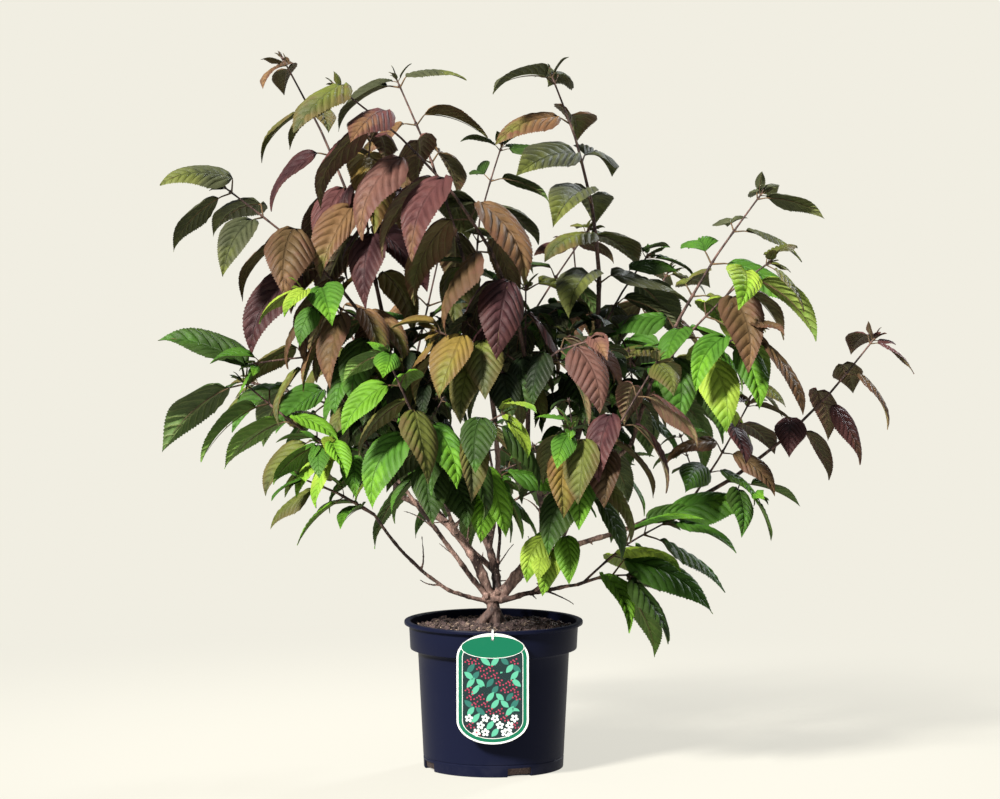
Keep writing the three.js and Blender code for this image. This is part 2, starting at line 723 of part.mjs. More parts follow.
// The short twigs that a shoot bears, spread along it and turned about it.
function spurShoots({ shoot, curve }, random) {
  const { chance, pairs, bare, turn } = SPUR;
  return Array.from({ length: shoot.spurs }, (_, i) => {
    const draws = drawMany(random, 3);
    const from = mix(SPUR.first, SPUR.last, (i + 0.5 + chance.from * draws[0]) / shoot.spurs);
    const around = radians(shoot.twist + i * turn + chance.turn * draws[1]);
    const out = leaving(curve.getTangent(from), radians(SPUR.leaving), around);
    const length = SPUR.length * (1 - SPUR.shortening * from) * (1 + chance.length * draws[2]);
    const tip = axisPoint(curve, from).addScaledVector(out, length).toArray();
    const leaf = shoot.leaf * SPUR.leafShare;
    return { ...shoot, from, tip, bow: [0, 0, -SPUR.sag * length], pairs, bare, leaf, turn, spurs: 0 };
  });
}

// Everything that a new twig or leaf keeps clear of.
const limbs = [trunk, ...Object.values(boughs).map((bough) => bough.solid)];
const obstacles = limbs.map((solid) => ({ solid, box: solid.boundingBox() }));

function isClear(solid, gap, kin) {
  const box = solid.boundingBox();
  const near = obstacles.filter((other) => !kin.includes(other) && boxesMeet(box, other.box, gap));
  return near.every((other) => solid.minGap(other.solid, 2 * gap) >= gap);
}

// The shoots of each mass stand first, then the twigs they bear, then the leaves.
const masses = Object.entries(MASSES).map(([name, { bough, shoots }], order) => {
  const { curve, tipRadius, grown } = boughs[bough];
  const foot = curve.getPoint(1).addScaledVector(curve.getTangent(1), GAP);
  const [first, ...others] = shoots.map((shoot) => ({ ...SHOOT, ...shoot }));
  const leader = makeStem(foot, first, tipRadius);
  const sides = others.map((shoot) => makeStem(axisPoint(leader.curve, shoot.from), shoot, TWIG.sideRadius));
  return { name, stems: [leader, ...sides], cutter: grown, random: randomStream(SEED * (order + 1)) };
});
obstacles.push(...masses.flatMap((mass) => mass.stems));

for (const { stems, random } of masses) {
  for (const stem of [...stems]) {
    for (const shoot of spurShoots(stem, random)) {
      const spur = makeStem(axisPoint(stem.curve, shoot.from), shoot, SPUR.radius);
      if (!isClear(spur.solid, LEAF_GAP, [stem])) continue;
      stems.push(spur);
      obstacles.push(spur);
    }
  }
}

function growLeaf(stem, slot) {
  const sameNode = (other) => other.stem === stem && other.share === slot.share;
  const kin = obstacles.filter((other) => other === stem || sameNode(other));
  for (const attempt of TRIES) {
    const { whole, blade } = leafSolids(placeLeaf(stem, slot, attempt));
    if (!isClear(blade, LEAF_GAP, []) || !isClear(whole, GAP, kin)) continue;
    obstacles.push({ solid: whole, box: whole.boundingBox(), stem, share: slot.share });
    return [whole];
  }
  return [];
}

for (const mass of masses) {
  const leaves = mass.stems.flatMap((stem) =>
    leafSlots(stem.shoot, mass.random).flatMap((slot) => growLeaf(stem, slot)),
  );
  const fused = Manifold.union([...mass.stems.map((stem) => stem.solid), ...leaves]);
  mass.solid = wholePiece(fused.subtract(mass.cutter));
}

addNode("pot", potSolid(), "#1f2233", 0.45);
addNode("soil", soilSolid(), "#3b2a24", 0.95);
addNode("label", labelSolid(), "#1d7a4f", 0.35);
addNode("label_tie", tieSolid(), "#e8e8e4", 0.4);
addNode("trunk", trunk, "#6d5346", 0.85);
for (const [name, { solid }] of Object.entries(boughs)) addNode(`bough_${name}`, solid, "#6a4c42", 0.85);
for (const { name, solid } of masses) addNode(`foliage_${name}`, solid, "#5d6b32", 0.6);

export default plant;
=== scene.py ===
"""The looks of a viburnum shrub in its nursery pot: bark, twigs, toothed leaves, compost, pot and hang label.

The shrub grows by the rule of the part's own source, written again here. A leaf that the solids carry stands
in the same place, and finer twigs with smaller leaves fill the crown within the same reach.
The rule is in millimetres, the meshes are in metres.
"""

import json
from math import acos, asin, cos, hypot, pi, radians, sin, sqrt

import bmesh
import bpy
import numpy as np
from bpy.props import FloatProperty, FloatVectorProperty, IntProperty, PointerProperty
from bpy.types import Operator, Panel, PropertyGroup
from mathutils import Matrix, Quaternion, Vector, noise
from mathutils.kdtree import KDTree

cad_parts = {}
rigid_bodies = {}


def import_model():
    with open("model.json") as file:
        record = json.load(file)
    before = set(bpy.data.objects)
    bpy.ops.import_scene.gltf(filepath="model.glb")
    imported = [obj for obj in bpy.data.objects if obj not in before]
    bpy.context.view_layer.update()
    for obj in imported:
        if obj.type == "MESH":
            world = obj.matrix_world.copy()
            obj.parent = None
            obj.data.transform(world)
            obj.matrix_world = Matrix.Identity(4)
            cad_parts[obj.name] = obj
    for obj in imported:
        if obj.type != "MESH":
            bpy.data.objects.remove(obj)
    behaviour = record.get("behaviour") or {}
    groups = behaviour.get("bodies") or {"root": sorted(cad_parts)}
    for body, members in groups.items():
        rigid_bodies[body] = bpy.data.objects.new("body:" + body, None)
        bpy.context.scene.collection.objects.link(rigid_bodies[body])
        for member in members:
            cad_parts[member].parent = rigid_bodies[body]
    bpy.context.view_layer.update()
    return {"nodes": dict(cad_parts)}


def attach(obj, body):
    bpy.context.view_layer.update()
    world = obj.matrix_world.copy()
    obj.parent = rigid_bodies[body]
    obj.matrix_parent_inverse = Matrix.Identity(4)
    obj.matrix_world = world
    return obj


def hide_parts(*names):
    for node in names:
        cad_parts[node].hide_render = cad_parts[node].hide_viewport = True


bl_info = {
    "name": "Potted viburnum",
    "version": (1, 0, 0),
    "blender": (4, 5, 0),
    "location": "View3D > Sidebar > Viburnum",
    "description": "Dresses the solids of a potted viburnum shrub with bark, leaves, compost and pot",
    "category": "Add Mesh",
}

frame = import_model()
BODY = "root"
MM = 0.001
UP = Vector((0, 0, 1))
FULL_TURN = 2 * pi


class Values(dict):
    """Named values that read as attributes."""

    __getattr__ = dict.__getitem__
    __setattr__ = dict.__setitem__


# ---------------- the shrub's own dimensions, in millimetres

GAP = 0.3  # between solids that stand on each other
SEED = 1009  # of the source's rule
FINE_SEED = 7001  # of what grows here alone

TRUNK = Values(foot=(3, -8, 180.3), head=(-2, 0, 214), bow=(1, -1, 0), radii=(10.5, 7.5), sunk=12)
ROOTS = (
    Values(turn=186, reach=34, radius=6.5, rise=22),
    Values(turn=285, reach=15, radius=5.5, rise=18),
    Values(turn=20, reach=20, radius=5, rise=17),
    Values(turn=100, reach=22, radius=5.5, rise=19),
)


def limb(tip, bow, radii, foot=None, parent=None, start=0.0):
    """A bough. It starts at its foot, or on its parent at the share start."""
    return Values(tip=tip, bow=bow, radii=radii, foot=foot, parent=parent, start=start)


BOUGHS = {
    "left_thick": limb((-122, -30, 347), (16, 4, 16), (7.5, 3.8), foot=(-5, 0, 215)),
    "right_thick": limb((88, -16, 366), (10, -6, -4), (8.5, 4.6), foot=(6, -3, 214)),
    "left_back": limb((-75, 24, 384), (22, 16, -8), (6.5, 3.4), foot=(4, 5, 216)),
    "left_straight": limb((-121, -62, 372), (2, -4, -2), (3.9, 2.6), foot=(-7, -6, 214)),
    "left_low": limb((-147, -78, 327), (-2, 0, -24), (3, 2.2), foot=(-7, -7, 211)),
    "right_low": limb((104, -62, 238), (0, -4, 2), (4.2, 2.4), foot=(8, -7, 211)),
    "right_rising": limb((236, 20, 326), (-6, 4, -8), (4.4, 3), parent="right_thick", start=0.4),
    "right_high": limb((172, -14, 408), (0, -2, -4), (4, 3), parent="right_thick", start=0.84),
    "front": limb((42, -84, 420), (6, -10, 0), (4.2, 3.2), parent="right_thick", start=0.55),
    "back_top": limb((2, 66, 430), (6, 10, -4), (4.6, 3.4), parent="left_back", start=0.4),
    "front_left": limb((-56, -112, 336), (4, -9, -6), (3.6, 2.6), parent="left_thick", start=0.5),
    "front_right": limb((86, -128, 306), (4, -8, -9), (3, 2.4), parent="right_low", start=0.4),
    "back_left": limb((-86, 112, 330), (0, 12, -8), (4.4, 2.8), parent="left_back", start=0.2),
    "back_right": limb((92, 106, 330), (0, 8, -14), (4.6, 2.8), foot=(7, 6, 213)),
    "back_low": limb((8, 114, 282), (0, 4, -14), (3.6, 2.4), foot=(0, 8, 211)),
}

PLAIN_SHOOT = Values(
    pairs=4,  # of leaves
    bare=0.3,  # the share of the shoot below its first pair
    leaf=100,  # length of its largest blades
    hang=0.85,  # from 0 for leaves that stand off to 1 for leaves that hang
    twist=30,  # degrees about the shoot to its first pair
    turn=60,  # degrees from one pair to the next
    end=0.6,  # size of its last pair beside the largest
    lift=58,  # degrees between a leaf stalk and the shoot
    spurs=0,  # short side twigs
)


def shoot(tints, tip, bow=(0, 0, 0), start=0.0, **other):
    """A shoot of a mass. tints names the leaf colours from its foot to its tip. Side shoots start at a share
    of the first one."""
    return Values(PLAIN_SHOOT, tints=tints.split(), tip=tip, bow=bow, start=start, **other)


# The masses in the source's order, each with its bough and its shoots.
# Many shoots start with a near-black tint: painted shade for their leaves inside the crown.
MASSES = {
    "upper_left": ("left_thick", [
        shoot("night olive brown gold purple burgundy purple olive brown", (-265, 60, 889), (44, 0, 0),
              pairs=9, bare=0.2, leaf=118, hang=0.95, twist=10, turn=66, spurs=1),
        shoot("purple bronze purple gold burgundy", (-152, -44, 792), (-8, -14, 0), start=0.5, pairs=5,
              leaf=112, hang=1, twist=60, turn=80, end=0.95),
    ]),
    "front_arch": ("front", [
        shoot("night purple purple brown bronze burgundy rose burgundy olive", (-191, -170, 857), (70, 0, 20),
              pairs=9, bare=0.2, leaf=120, hang=1, twist=66, turn=58, end=0.9, spurs=1),
        shoot("night burgundy rose", (118, -158, 548), (0, -8, 10), start=0.16, leaf=96, hang=1, turn=70),
        shoot("night olive gold", (-66, -170, 560), (0, -8, 14), start=0.1, hang=1, turn=70),
    ]),
    "left_arch": ("left_back", [
        shoot("deep olive bronze brown purple brown dusky", (-335, -60, 734), (44, -6, 10), pairs=8, leaf=116,
              hang=0.9, twist=24, turn=62, end=0.85),
        shoot("deep bronze brown green lime", (-232, -138, 608), (10, -6, 10), start=0.36, pairs=5, leaf=104,
              hang=0.95, twist=70, turn=74),
        shoot("deep olive green", (-292, -92, 516), (0, -4, 16), start=0.3, pairs=3, bare=0.35, leaf=92,
              hang=0.8, twist=10),
    ]),
    "left_spray": ("left_straight", [
        shoot("green lime olive bright green deep", (-312, -72, 494), (0, -4, -14), pairs=6, bare=0.2,
              hang=0.55, twist=94, turn=78, end=1.25),
        shoot("green lime bright green", (-214, -150, 424), (0, -6, 4), start=0.2, bare=0.35, leaf=82,
              hang=0.7, twist=40),
        shoot("deep green olive green", (-176, -44, 486), (-8, 8, 0), start=0.1, bare=0.25, leaf=88, hang=0.7,
              twist=0, turn=70),
    ]),
    "left_low": ("left_low", [
        shoot("green bright olive green", (-236, -112, 376), (0, 0, 4), bare=0.14, leaf=80, hang=0.25,
              twist=24, turn=56, end=0.9),
    ]),
    "top": ("right_thick", [
        shoot("night dusky night dusky olive dusky dusky bronze dusky", (71, 60, 874), (53, 0, 0), pairs=9,
              bare=0.18, leaf=122, hang=0.5, twist=84, turn=14, end=0.9, spurs=1),
        shoot("night deep deep", (196, 96, 640), (0, 8, 6), start=0.34, pairs=3, bare=0.35, hang=0.6,
              twist=20),
    ]),
    "back_top": ("back_top", [
        shoot("night dusky olive brown dusky brown bronze dusky", (-125, 120, 867), (20, 0, 0), pairs=8,
              bare=0.2, leaf=112, hang=0.8, twist=82, turn=28, end=0.8),
        shoot("night deep dusky dusky deep", (11, 170, 781), (-26, 0, 0), start=0.14, pairs=6, leaf=96,
              hang=0.4, twist=84, turn=14),
        shoot("night deep olive", (122, 130, 673), (-4, 12, 0), start=0.1, pairs=3, bare=0.4, leaf=90,
              hang=0.6),
    ]),
    "right_high": ("right_high", [
        shoot("deep olive green olive green dusky dusky", (339, 40, 723), (-22, 0, 0), pairs=7, bare=0.2,
              leaf=104, hang=0.5, twist=84, turn=14, end=0.75, spurs=1),
        shoot("green lime brown lime olive", (340, -80, 640), (0, -10, 16), start=0.24, pairs=5, leaf=114,
              hang=0.75, twist=40),
        shoot("deep lime green brown", (318, -112, 556), (0, -8, 18), start=0.14, bare=0.35, leaf=112,
              hang=0.9, twist=60, turn=66, end=0.85),
    ]),
    "right_far": ("right_rising", [
        shoot("purple burgundy brown burgundy", (480, 20, 541), (6, 0, -22), bare=0.56, leaf=88, hang=0.9,
              twist=84, turn=24, end=0.8),
        shoot("deep brown purple purple", (318, -34, 462), (0, -4, -6), start=0.04, bare=0.34, leaf=86,
              hang=0.6, turn=66),
        shoot("deep green", (326, -8, 346), (0, 0, 6), start=0.22, pairs=2, bare=0.5, leaf=92, hang=0.15,
              twist=0),
    ]),
    "right_low": ("right_low", [
        shoot("bright green deep", (166, -92, 254), (0, 0, 4), pairs=3, bare=0.4, leaf=126, hang=0.7,
              end=0.95, lift=46),
        shoot("lime green deep green", (214, -34, 312), (0, 4, 8), start=0.1, leaf=112, hang=0.35, twist=12,
              turn=50, end=0.9, lift=46),
    ]),
    "front_left": ("front_left", [
        shoot("deep deep green olive bright green", (-128, -262, 540), (10, -30, -10), pairs=6, bare=0.26,
              hang=0.9, twist=10, turn=66, spurs=1),
        shoot("deep olive deep lime", (12, -286, 470), (0, -8, 12), start=0.3, leaf=96, hang=0.95, twist=50,
              turn=70),
        shoot("green bright green", (8, -190, 384), (0, -10, 10), start=0.14, pairs=3, bare=0.4, leaf=96,
              hang=0.95, twist=20, end=0.85),
    ]),
    "front_right": ("front_right", [
        shoot("deep olive brown purple rose olive", (196, -252, 530), (-14, -30, -10), pairs=6, bare=0.26,
              leaf=102, hang=0.95, turn=66),
        shoot("green gold olive green", (92, -262, 450), (0, -8, 10), start=0.3, leaf=94, hang=1, twist=70),
        shoot("bright lime lime", (64, -186, 296), (0, -10, 8), start=0.06, pairs=3, bare=0.4, leaf=70,
              hang=1, twist=10, turn=70, end=0.9),
    ]),
    "back_left": ("back_left", [
        shoot("night deep deep olive bronze olive", (-236, 300, 610), (10, 30, -10), pairs=6, bare=0.2,
              leaf=108, twist=10, turn=64),
        shoot("deep green deep olive", (-312, 196, 470), (0, 8, 12), start=0.24, leaf=102, hang=0.75),
        shoot("deep olive bronze gold", (-66, 262, 660), (0, 14, 0), start=0.3, pairs=3, leaf=102, twist=50,
              turn=70),
        shoot("night deep green", (-170, 96, 560), (-10, 0, 0), start=0.14, pairs=3, bare=0.35, leaf=96,
              hang=0.8, twist=20, turn=64),
    ]),
    "back_right": ("back_right", [
        shoot("night deep olive green brown olive", (232, 300, 612), (-10, 30, -10), pairs=6, bare=0.2,
              leaf=108, twist=40, turn=64),
        shoot("deep green lime olive", (334, 212, 470), (0, 8, 12), start=0.24, leaf=102, hang=0.75,
              twist=10),
        shoot("deep olive bronze burgundy", (104, 250, 650), (0, 14, 0), start=0.3, pairs=3, leaf=102,
              twist=60, turn=70),
    ]),
    "back_low": ("back_low", [
        shoot("deep green deep green", (-10, 356, 388), (0, 10, 10), pairs=5, bare=0.24, leaf=104, hang=0.75,
              twist=10, turn=56),
        shoot("deep green lime", (-160, 262, 352), (0, 10, 8), start=0.2, pairs=3, bare=0.34, leaf=98,
              hang=0.7, turn=56),
        shoot("green deep green", (166, 258, 356), (0, 10, 8), start=0.2, pairs=3, bare=0.34, leaf=98,
              hang=0.7, twist=20, turn=56),
    ]),
}

TWIG = Values(side_radius=2.0, tip_radius=1.2, step=90)
# The short twigs that a shoot bears. Their lengths and leaves are shares of the shoot's.
SPUR = Values(
    length=100, shortening=0.3, radius=1.7, first=0.06, last=0.72, leaving=48,
    turn=137.5, sag=0.05, pairs=2, bare=0.5, leaf_share=0.86,
    chance_from=0.3, chance_turn=40, chance_length=0.25,
)
LEAF = Values(stalk_share=0.17, collar=2.0)
# How leaves stand: grown ones from a share of the shoot's age, younger ones hang less.
STANCE = Values(
    last_node=0.97, grown=0.6, foot_scale=0.84, young_hang=0.45, follow=0.3,
    hanging_pitch=-35, hanging_tip=-88, level_bend=0.5, least_bend=0.1,
)
CHANCE = Values(pair_turn=12, turn=10, length=0.12, hang=0.1, heading=22, roll=32)
# The turns and sizes that a leaf tries, until it has room among the limbs.
TRIES = ((0, 1), (26, 1), (-26, 1), (52, 0.95), (-52, 0.95), (80, 0.88), (-80, 0.88))
# A tip in the solids lies this close to where the rule puts it.
SAME_LEAF = 0.5 * MM
SAME_SPUR = 1.4 * MM
NEARLY_UPRIGHT = 0.05  # a stem that leans less than this counts as upright

# ---------------- the growth rule


class Draws:
    """The minimal standard generator, which gives the same numbers in any language."""

    FACTOR = 7**5
    MODULUS = 2**31 - 1

    def __init__(self, seed):
        self.state = seed

    def share(self):
        """A number from 0 to 1."""
        self.state = self.state * self.FACTOR % self.MODULUS
        return self.state / self.MODULUS

    def many(self, count):
        """Numbers from -1 to 1."""
        return [2 * self.share() - 1 for _ in range(count)]


def mix(a, b, share):
    return a + (b - a) * share


class Curve:
    """A curve whose middle stands off the straight line from foot to tip by bow."""

    def __init__(self, foot, tip, bow):
        self.foot = Vector(foot)
        self.tip = Vector(tip)
        self.control = (self.foot + self.tip) / 2 + 2 * Vector(bow)

    def point(self, share):
        rest = 1 - share
        return rest * rest * self.foot + 2 * rest * share * self.control + share * share * self.tip

    def tangent(self, share):
        way = (1 - share) * (self.control - self.foot) + share * (self.tip - self.control)
        return way.normalized()

    def length(self):
        return (self.tip - self.foot).length

    def across(self):
        """A direction square to the middle of the curve."""
        return np.array(self.tangent(0.5).orthogonal()[:])

    def axis_point(self, share):
        """A point of the axis of the solid twig, which runs straight from ring to ring."""
        steps = max(2, int(self.length() / TWIG.step + 0.5))
        ring = min(int(share * steps), steps - 1)
        return self.point(ring / steps).lerp(self.point((ring + 1) / steps), share * steps - ring)


def leaving(along, lift, turn):
    """A direction that leaves a stem at the angle lift, turned about it."""
    side = along.cross(UP)
    if side.length < NEARLY_UPRIGHT:
        side = Vector((0, 1, 0))
    side.normalize()
    over = side.cross(along)
    out = side * cos(turn) + over * sin(turn)
    return out * sin(lift) + along * cos(lift)


class Stem:
    """A twig: its curve, its foot radius and the shoot that says what it bears."""

    def __init__(self, foot, shoot, radius, fine=False):
        self.curve = Curve(foot, shoot.tip, shoot.bow)
        self.shoot = shoot
        self.radius = radius
        self.fine = fine

    def bears(self, plan, radius, fine=False):
        """A side stem that starts on this one."""
        return Stem(self.curve.axis_point(plan.start), plan, radius, fine)

    def node_shares(self):
        """Where its pairs of leaves stand, as shares of its length."""
        pairs = self.shoot.pairs
        return [mix(self.shoot.bare, STANCE.last_node, i / max(1, pairs - 1)) for i in range(pairs)]


def spur_shoots(stem, draws, count, scale=1.0):
    """The short twigs that a shoot bears, spread along it and turned about it."""
    found = []
    for i in range(count):
        chance = draws.many(3)
        start = mix(SPUR.first, SPUR.last, (i + 0.5 + SPUR.chance_from * chance[0]) / count)
        around = stem.shoot.twist + i * SPUR.turn + SPUR.chance_turn * chance[1]
        out = leaving(stem.curve.tangent(start), radians(SPUR.leaving), radians(around))
        length = scale * SPUR.length * (1 - SPUR.shortening * start)
        length *= 1 + SPUR.chance_length * chance[2]
        found.append(Values(
            stem.shoot, start=start, pairs=SPUR.pairs, bare=SPUR.bare, turn=SPUR.turn,
            tip=stem.curve.axis_point(start) + out * length,
            bow=(0, 0, -SPUR.sag * length),
            leaf=stem.shoot.leaf * SPUR.leaf_share,
        ))
    return found


def leaf_slot(share, turn, length, hang, age, chance):
    """The place of a leaf, from the angle about its stem in degrees and its own draws."""
    heading, roll = radians(CHANCE.heading * chance[0]), radians(CHANCE.roll * chance[1])
    turn = radians(turn)
    return Values(share=share, turn=turn, length=length, hang=hang, heading=heading, roll=roll, age=age)


def leaf_slots(stem, draws):
    """The places of a stem's leaves, each with the draws that its tries share."""
    slots, plan = [], stem.shoot
    grown = STANCE.grown
    for i, share in enumerate(stem.node_shares()):
        age = i / max(1, plan.pairs - 1)
        youth = max(0, (age - grown) / (1 - grown))
        size = mix(STANCE.foot_scale, 1, age / grown) if age < grown else mix(1, plan.end, youth)
        hang = plan.hang * (1 - STANCE.young_hang * youth)
        pair_turn = plan.twist + i * plan.turn + CHANCE.pair_turn * draws.many(1)[0]
        for half in (0, 180):
            chance = draws.many(5)
            turn = pair_turn + half + CHANCE.turn * chance[0]
            length = plan.leaf * size * (1 + CHANCE.length * chance[1])
            slots.append(leaf_slot(share, turn, length, hang + CHANCE.hang * chance[2], age, chance[3:]))
    return slots


def place_leaf(stem, slot, turn=0, scale=1, lift=None):
    """Where a leaf's blade starts, which way it heads and how it bends."""
    root = stem.curve.axis_point(slot.share)
    along = stem.curve.tangent(slot.share)
    out = leaving(along, radians(lift or stem.shoot.lift), slot.turn)
    length = slot.length * scale
    heading = out + STANCE.follow * along
    heading = Vector((heading.x, heading.y, 0)).normalized()
    rise = asin(out.z)
    pitch = mix(rise, radians(STANCE.hanging_pitch), slot.hang)
    droop = mix(rise - STANCE.level_bend, radians(STANCE.hanging_tip), slot.hang) - pitch
    return Values(
        root=root, out=out, length=length, pitch=pitch, roll=slot.roll,
        base=root + out * (length * LEAF.stalk_share + LEAF.collar),
        heading=Quaternion(UP, slot.heading + radians(turn)) @ heading,
        droop=min(droop, -STANCE.least_bend),
    )


def leaf_tip(leaf):
    """The tip of the blade, which bends evenly in an upright plane."""
    angle = leaf.pitch + leaf.droop
    ahead = leaf.length * (sin(angle) - sin(leaf.pitch)) / leaf.droop
    rise = leaf.length * (cos(leaf.pitch) - cos(angle)) / leaf.droop
    return leaf.base + leaf.heading * ahead + UP * rise


def grow_boughs():
    """The curve of each bough."""
    curves = {}
    for name, bough in BOUGHS.items():
        foot = curves[bough.parent].point(bough.start) if bough.parent else bough.foot
        curves[name] = Curve(foot, bough.tip, bough.bow)
    return curves


def solid_points(node):
    """The corners of a solid, for finding what it carries."""
    points = frame["nodes"][node].data.vertices
    tree = KDTree(len(points))
    for i, point in enumerate(points):
        tree.insert(point.co, i)
    tree.balance()
    return tree


# Where the crown is dense: the middle and the half axes of an ellipsoid.
CORE = Values(centre=Vector((35, 0, 445)), axes=Vector((235, 205, 150)))


def in_core(point, reach=1.0):
    away = point - CORE.centre
    return sum((away[k] / CORE.axes[k]) ** 2 for k in range(3)) < reach * reach


# The finer twigs and leaves that fill the crown between those of the solids.
FINE = Values(
    left_out_scale=0.72,  # a leaf that the solids have no room for grows this much smaller
    spacing=34,  # a shoot bears one finer twig for this much of its length
    radius=1.3,
    length=0.95,  # beside a spur of the source
    leaf=0.6, pairs=3, bare=0.3,
    reach=1.06,  # of the leaves, beside the dense part
    # The inside of the crown takes mostly the near-black tint, as painted shade.
    shade=("night", "deep", "night", "green", "night", "olive", "deep", "bright"),
    # Brighter tints below the low height: painted light for the low part of the crown.
    low_shade=("green", "bright", "deep", "lime", "green", "bright"),
    low=375,  # below this height the finer leaves take the brighter tints, as painted light
)
# The pairs of young leaves that stand up at a shoot's tip. The lift is their angle from the shoot.
YOUNG = (
    Values(share=0.985, length=25, lift=50, turn=0),
    Values(share=0.985, length=16, lift=32, turn=90),
    Values(share=1, length=10, lift=18, turn=0),
)
YOUNG_CHANCE = 0.25  # how far the lengths of young leaves differ


def own_leaves(stem, tree, draws):
    """The leaves that the rule gives a stem. A leaf stands where the solids have it, or is smaller where
    they have none."""
    tints = stem.shoot.tints
    leaves = []
    for slot in leaf_slots(stem, draws):
        leaf = place_leaf(stem, slot, scale=FINE.left_out_scale)
        for turn, scale in TRIES:
            tried = place_leaf(stem, slot, turn, scale)
            if tree.find(leaf_tip(tried) * MM)[2] < SAME_LEAF:
                leaf = tried
                break
        leaf.tint = tints[min(int(slot.age * len(tints)), len(tints) - 1)]
        leaves.append(leaf)
    return leaves


def fine_stems(stem, draws):
    """Finer twigs of a stem, inside the dense part of the crown."""
    count = int(stem.curve.length() / FINE.spacing)
    found = []
    for plan in spur_shoots(stem, draws, count, FINE.length):
        # Low down the brighter tints paint light, higher up the near-black ones paint shade.
        shades = FINE.low_shade if plan.tip.z < FINE.low else FINE.shade
        plan.tints = [shades[int(draws.share() * len(shades))]]
        plan.leaf *= FINE.leaf
        plan.pairs = FINE.pairs
        plan.bare = FINE.bare
        if in_core(plan.tip):
            found.append(stem.bears(plan, FINE.radius, fine=True))
    return found


def fine_leaves(stem, draws):
    """The leaves of a finer twig, inside the dense part."""
    leaves = [Values(place_leaf(stem, slot), tint=stem.shoot.tints[0]) for slot in leaf_slots(stem, draws)]
    return [leaf for leaf in leaves if in_core(leaf_tip(leaf), FINE.reach)]


def young_leaves(stem, draws):
    """The young leaves at the tip of a shoot."""
    leaves = []
    for pair in YOUNG:
        for half in (0, 180):
            chance = draws.many(4)
            turn = stem.shoot.twist + pair.turn + half + CHANCE.pair_turn * chance[0]
            length = pair.length * (1 + YOUNG_CHANCE * chance[1])
            slot = leaf_slot(pair.share, turn, length, 0, 1, chance[2:])
            leaves.append(Values(place_leaf(stem, slot, lift=pair.lift), tint=stem.shoot.tints[-1]))
    return leaves


def grow_mass(order, name):
    """The stems and leaves of a mass, in the order of the source's rule."""
    bough, plans = MASSES[name]
    tree = solid_points(f"foliage_{name}")
    draws = Draws(SEED * (order + 1))
    way = BOUGH_CURVES[bough]
    foot = way.point(1) + way.tangent(1) * GAP
    leader = Stem(foot, plans[0], BOUGHS[bough].radii[1])
    stems = [leader] + [leader.bears(plan, TWIG.side_radius) for plan in plans[1:]]
    for stem in list(stems):
        for plan in spur_shoots(stem, draws, stem.shoot.spurs):
            if tree.find(plan.tip * MM)[2] < SAME_SPUR:
                stems.append(stem.bears(plan, SPUR.radius))
    leaves = [leaf for stem in stems for leaf in own_leaves(stem, tree, draws)]
    fine_draws = Draws(FINE_SEED * (order + 1))
    fine = [twig for stem in stems for twig in fine_stems(stem, fine_draws)]
    leaves += [leaf for twig in fine for leaf in fine_leaves(twig, fine_draws)]
    leaves += [leaf for stem in stems for leaf in young_leaves(stem, fine_draws)]
    return Values(stems=stems + fine, leaves=leaves)


BOUGH_CURVES = grow_boughs()
GROWTH = {name: grow_mass(order, name) for order, name in enumerate(MASSES)}
ALL_MASSES = [f"foliage_{name}" for name in MASSES]

# ---------------- meshes


def linked(name, data):
    """A new object in the scene."""
    piece = bpy.data.objects.new(name, data)
    bpy.context.scene.collection.objects.link(piece)
    return piece


def mesh_object(name, points, faces, face_slots=None, smooth=True):
    """An object from points in millimetres and triangles, with a material index for each face."""
    points = np.asarray(points * MM, np.float32)
    faces = np.asarray(faces, np.int32)
    mesh = bpy.data.meshes.new(name)
    mesh.vertices.add(len(points))
    mesh.vertices.foreach_set("co", points.ravel())
    mesh.loops.add(faces.size)
    mesh.loops.foreach_set("vertex_index", faces.ravel())
    mesh.polygons.add(len(faces))
    mesh.polygons.foreach_set("loop_start", np.arange(0, faces.size, 3, dtype=np.int32))
    mesh.polygons.foreach_set("use_smooth", np.full(len(faces), smooth))
    if face_slots is not None:
        mesh.polygons.foreach_set("material_index", np.asarray(face_slots, np.int32))
    mesh.update(calc_edges=True)
    return linked(name, mesh)


def joined(parts):
    """One set of points and triangles from several."""
    points, faces, count = [], [], 0
    for part_points, part_faces in parts:
        points.append(part_points)
        faces.append(part_faces + count)
        count += len(part_points)
    return np.concatenate(points), np.concatenate(faces)


def repeated(points, faces):
    """One set of points and triangles from the points (body, point, axis) of bodies with the same faces."""
    shift = points.shape[1] * np.arange(len(points))[:, None, None]
    return points.reshape(-1, 3), (faces + shift).reshape(-1, 3)


def evaluated(piece):
    """The mesh that a curve or the modifiers of a piece make."""
    graph = bpy.context.evaluated_depsgraph_get()
    return bpy.data.meshes.new_from_object(piece.evaluated_get(graph))


def apply_modifiers(piece):
    mesh = evaluated(piece)
    piece.modifiers.clear()
    piece.data = mesh


def circle(radius, count):
    """Points evenly round a circle."""
    turns = [FULL_TURN * k / count for k in range(count)]
    return [(radius * cos(turn), radius * sin(turn)) for turn in turns]


def unit(vectors):
    return vectors / np.maximum(np.linalg.norm(vectors, axis=-1, keepdims=True), 1e-12)


def tube_faces(rings, sides):
    """Triangles of a closed tube: its rings, then the centres of its two ends."""
    faces = []
    for i in range(rings - 1):
        for k in range(sides):
            a, b = i * sides + k, i * sides + (k + 1) % sides
            faces += [(a, b, a + sides), (b, b + sides, a + sides)]
    last = (rings - 1) * sides
    for k in range(sides):
        faces.append((rings * sides, (k + 1) % sides, k))
        faces.append((rings * sides + 1, last + k, last + (k + 1) % sides))
    return np.array(faces)


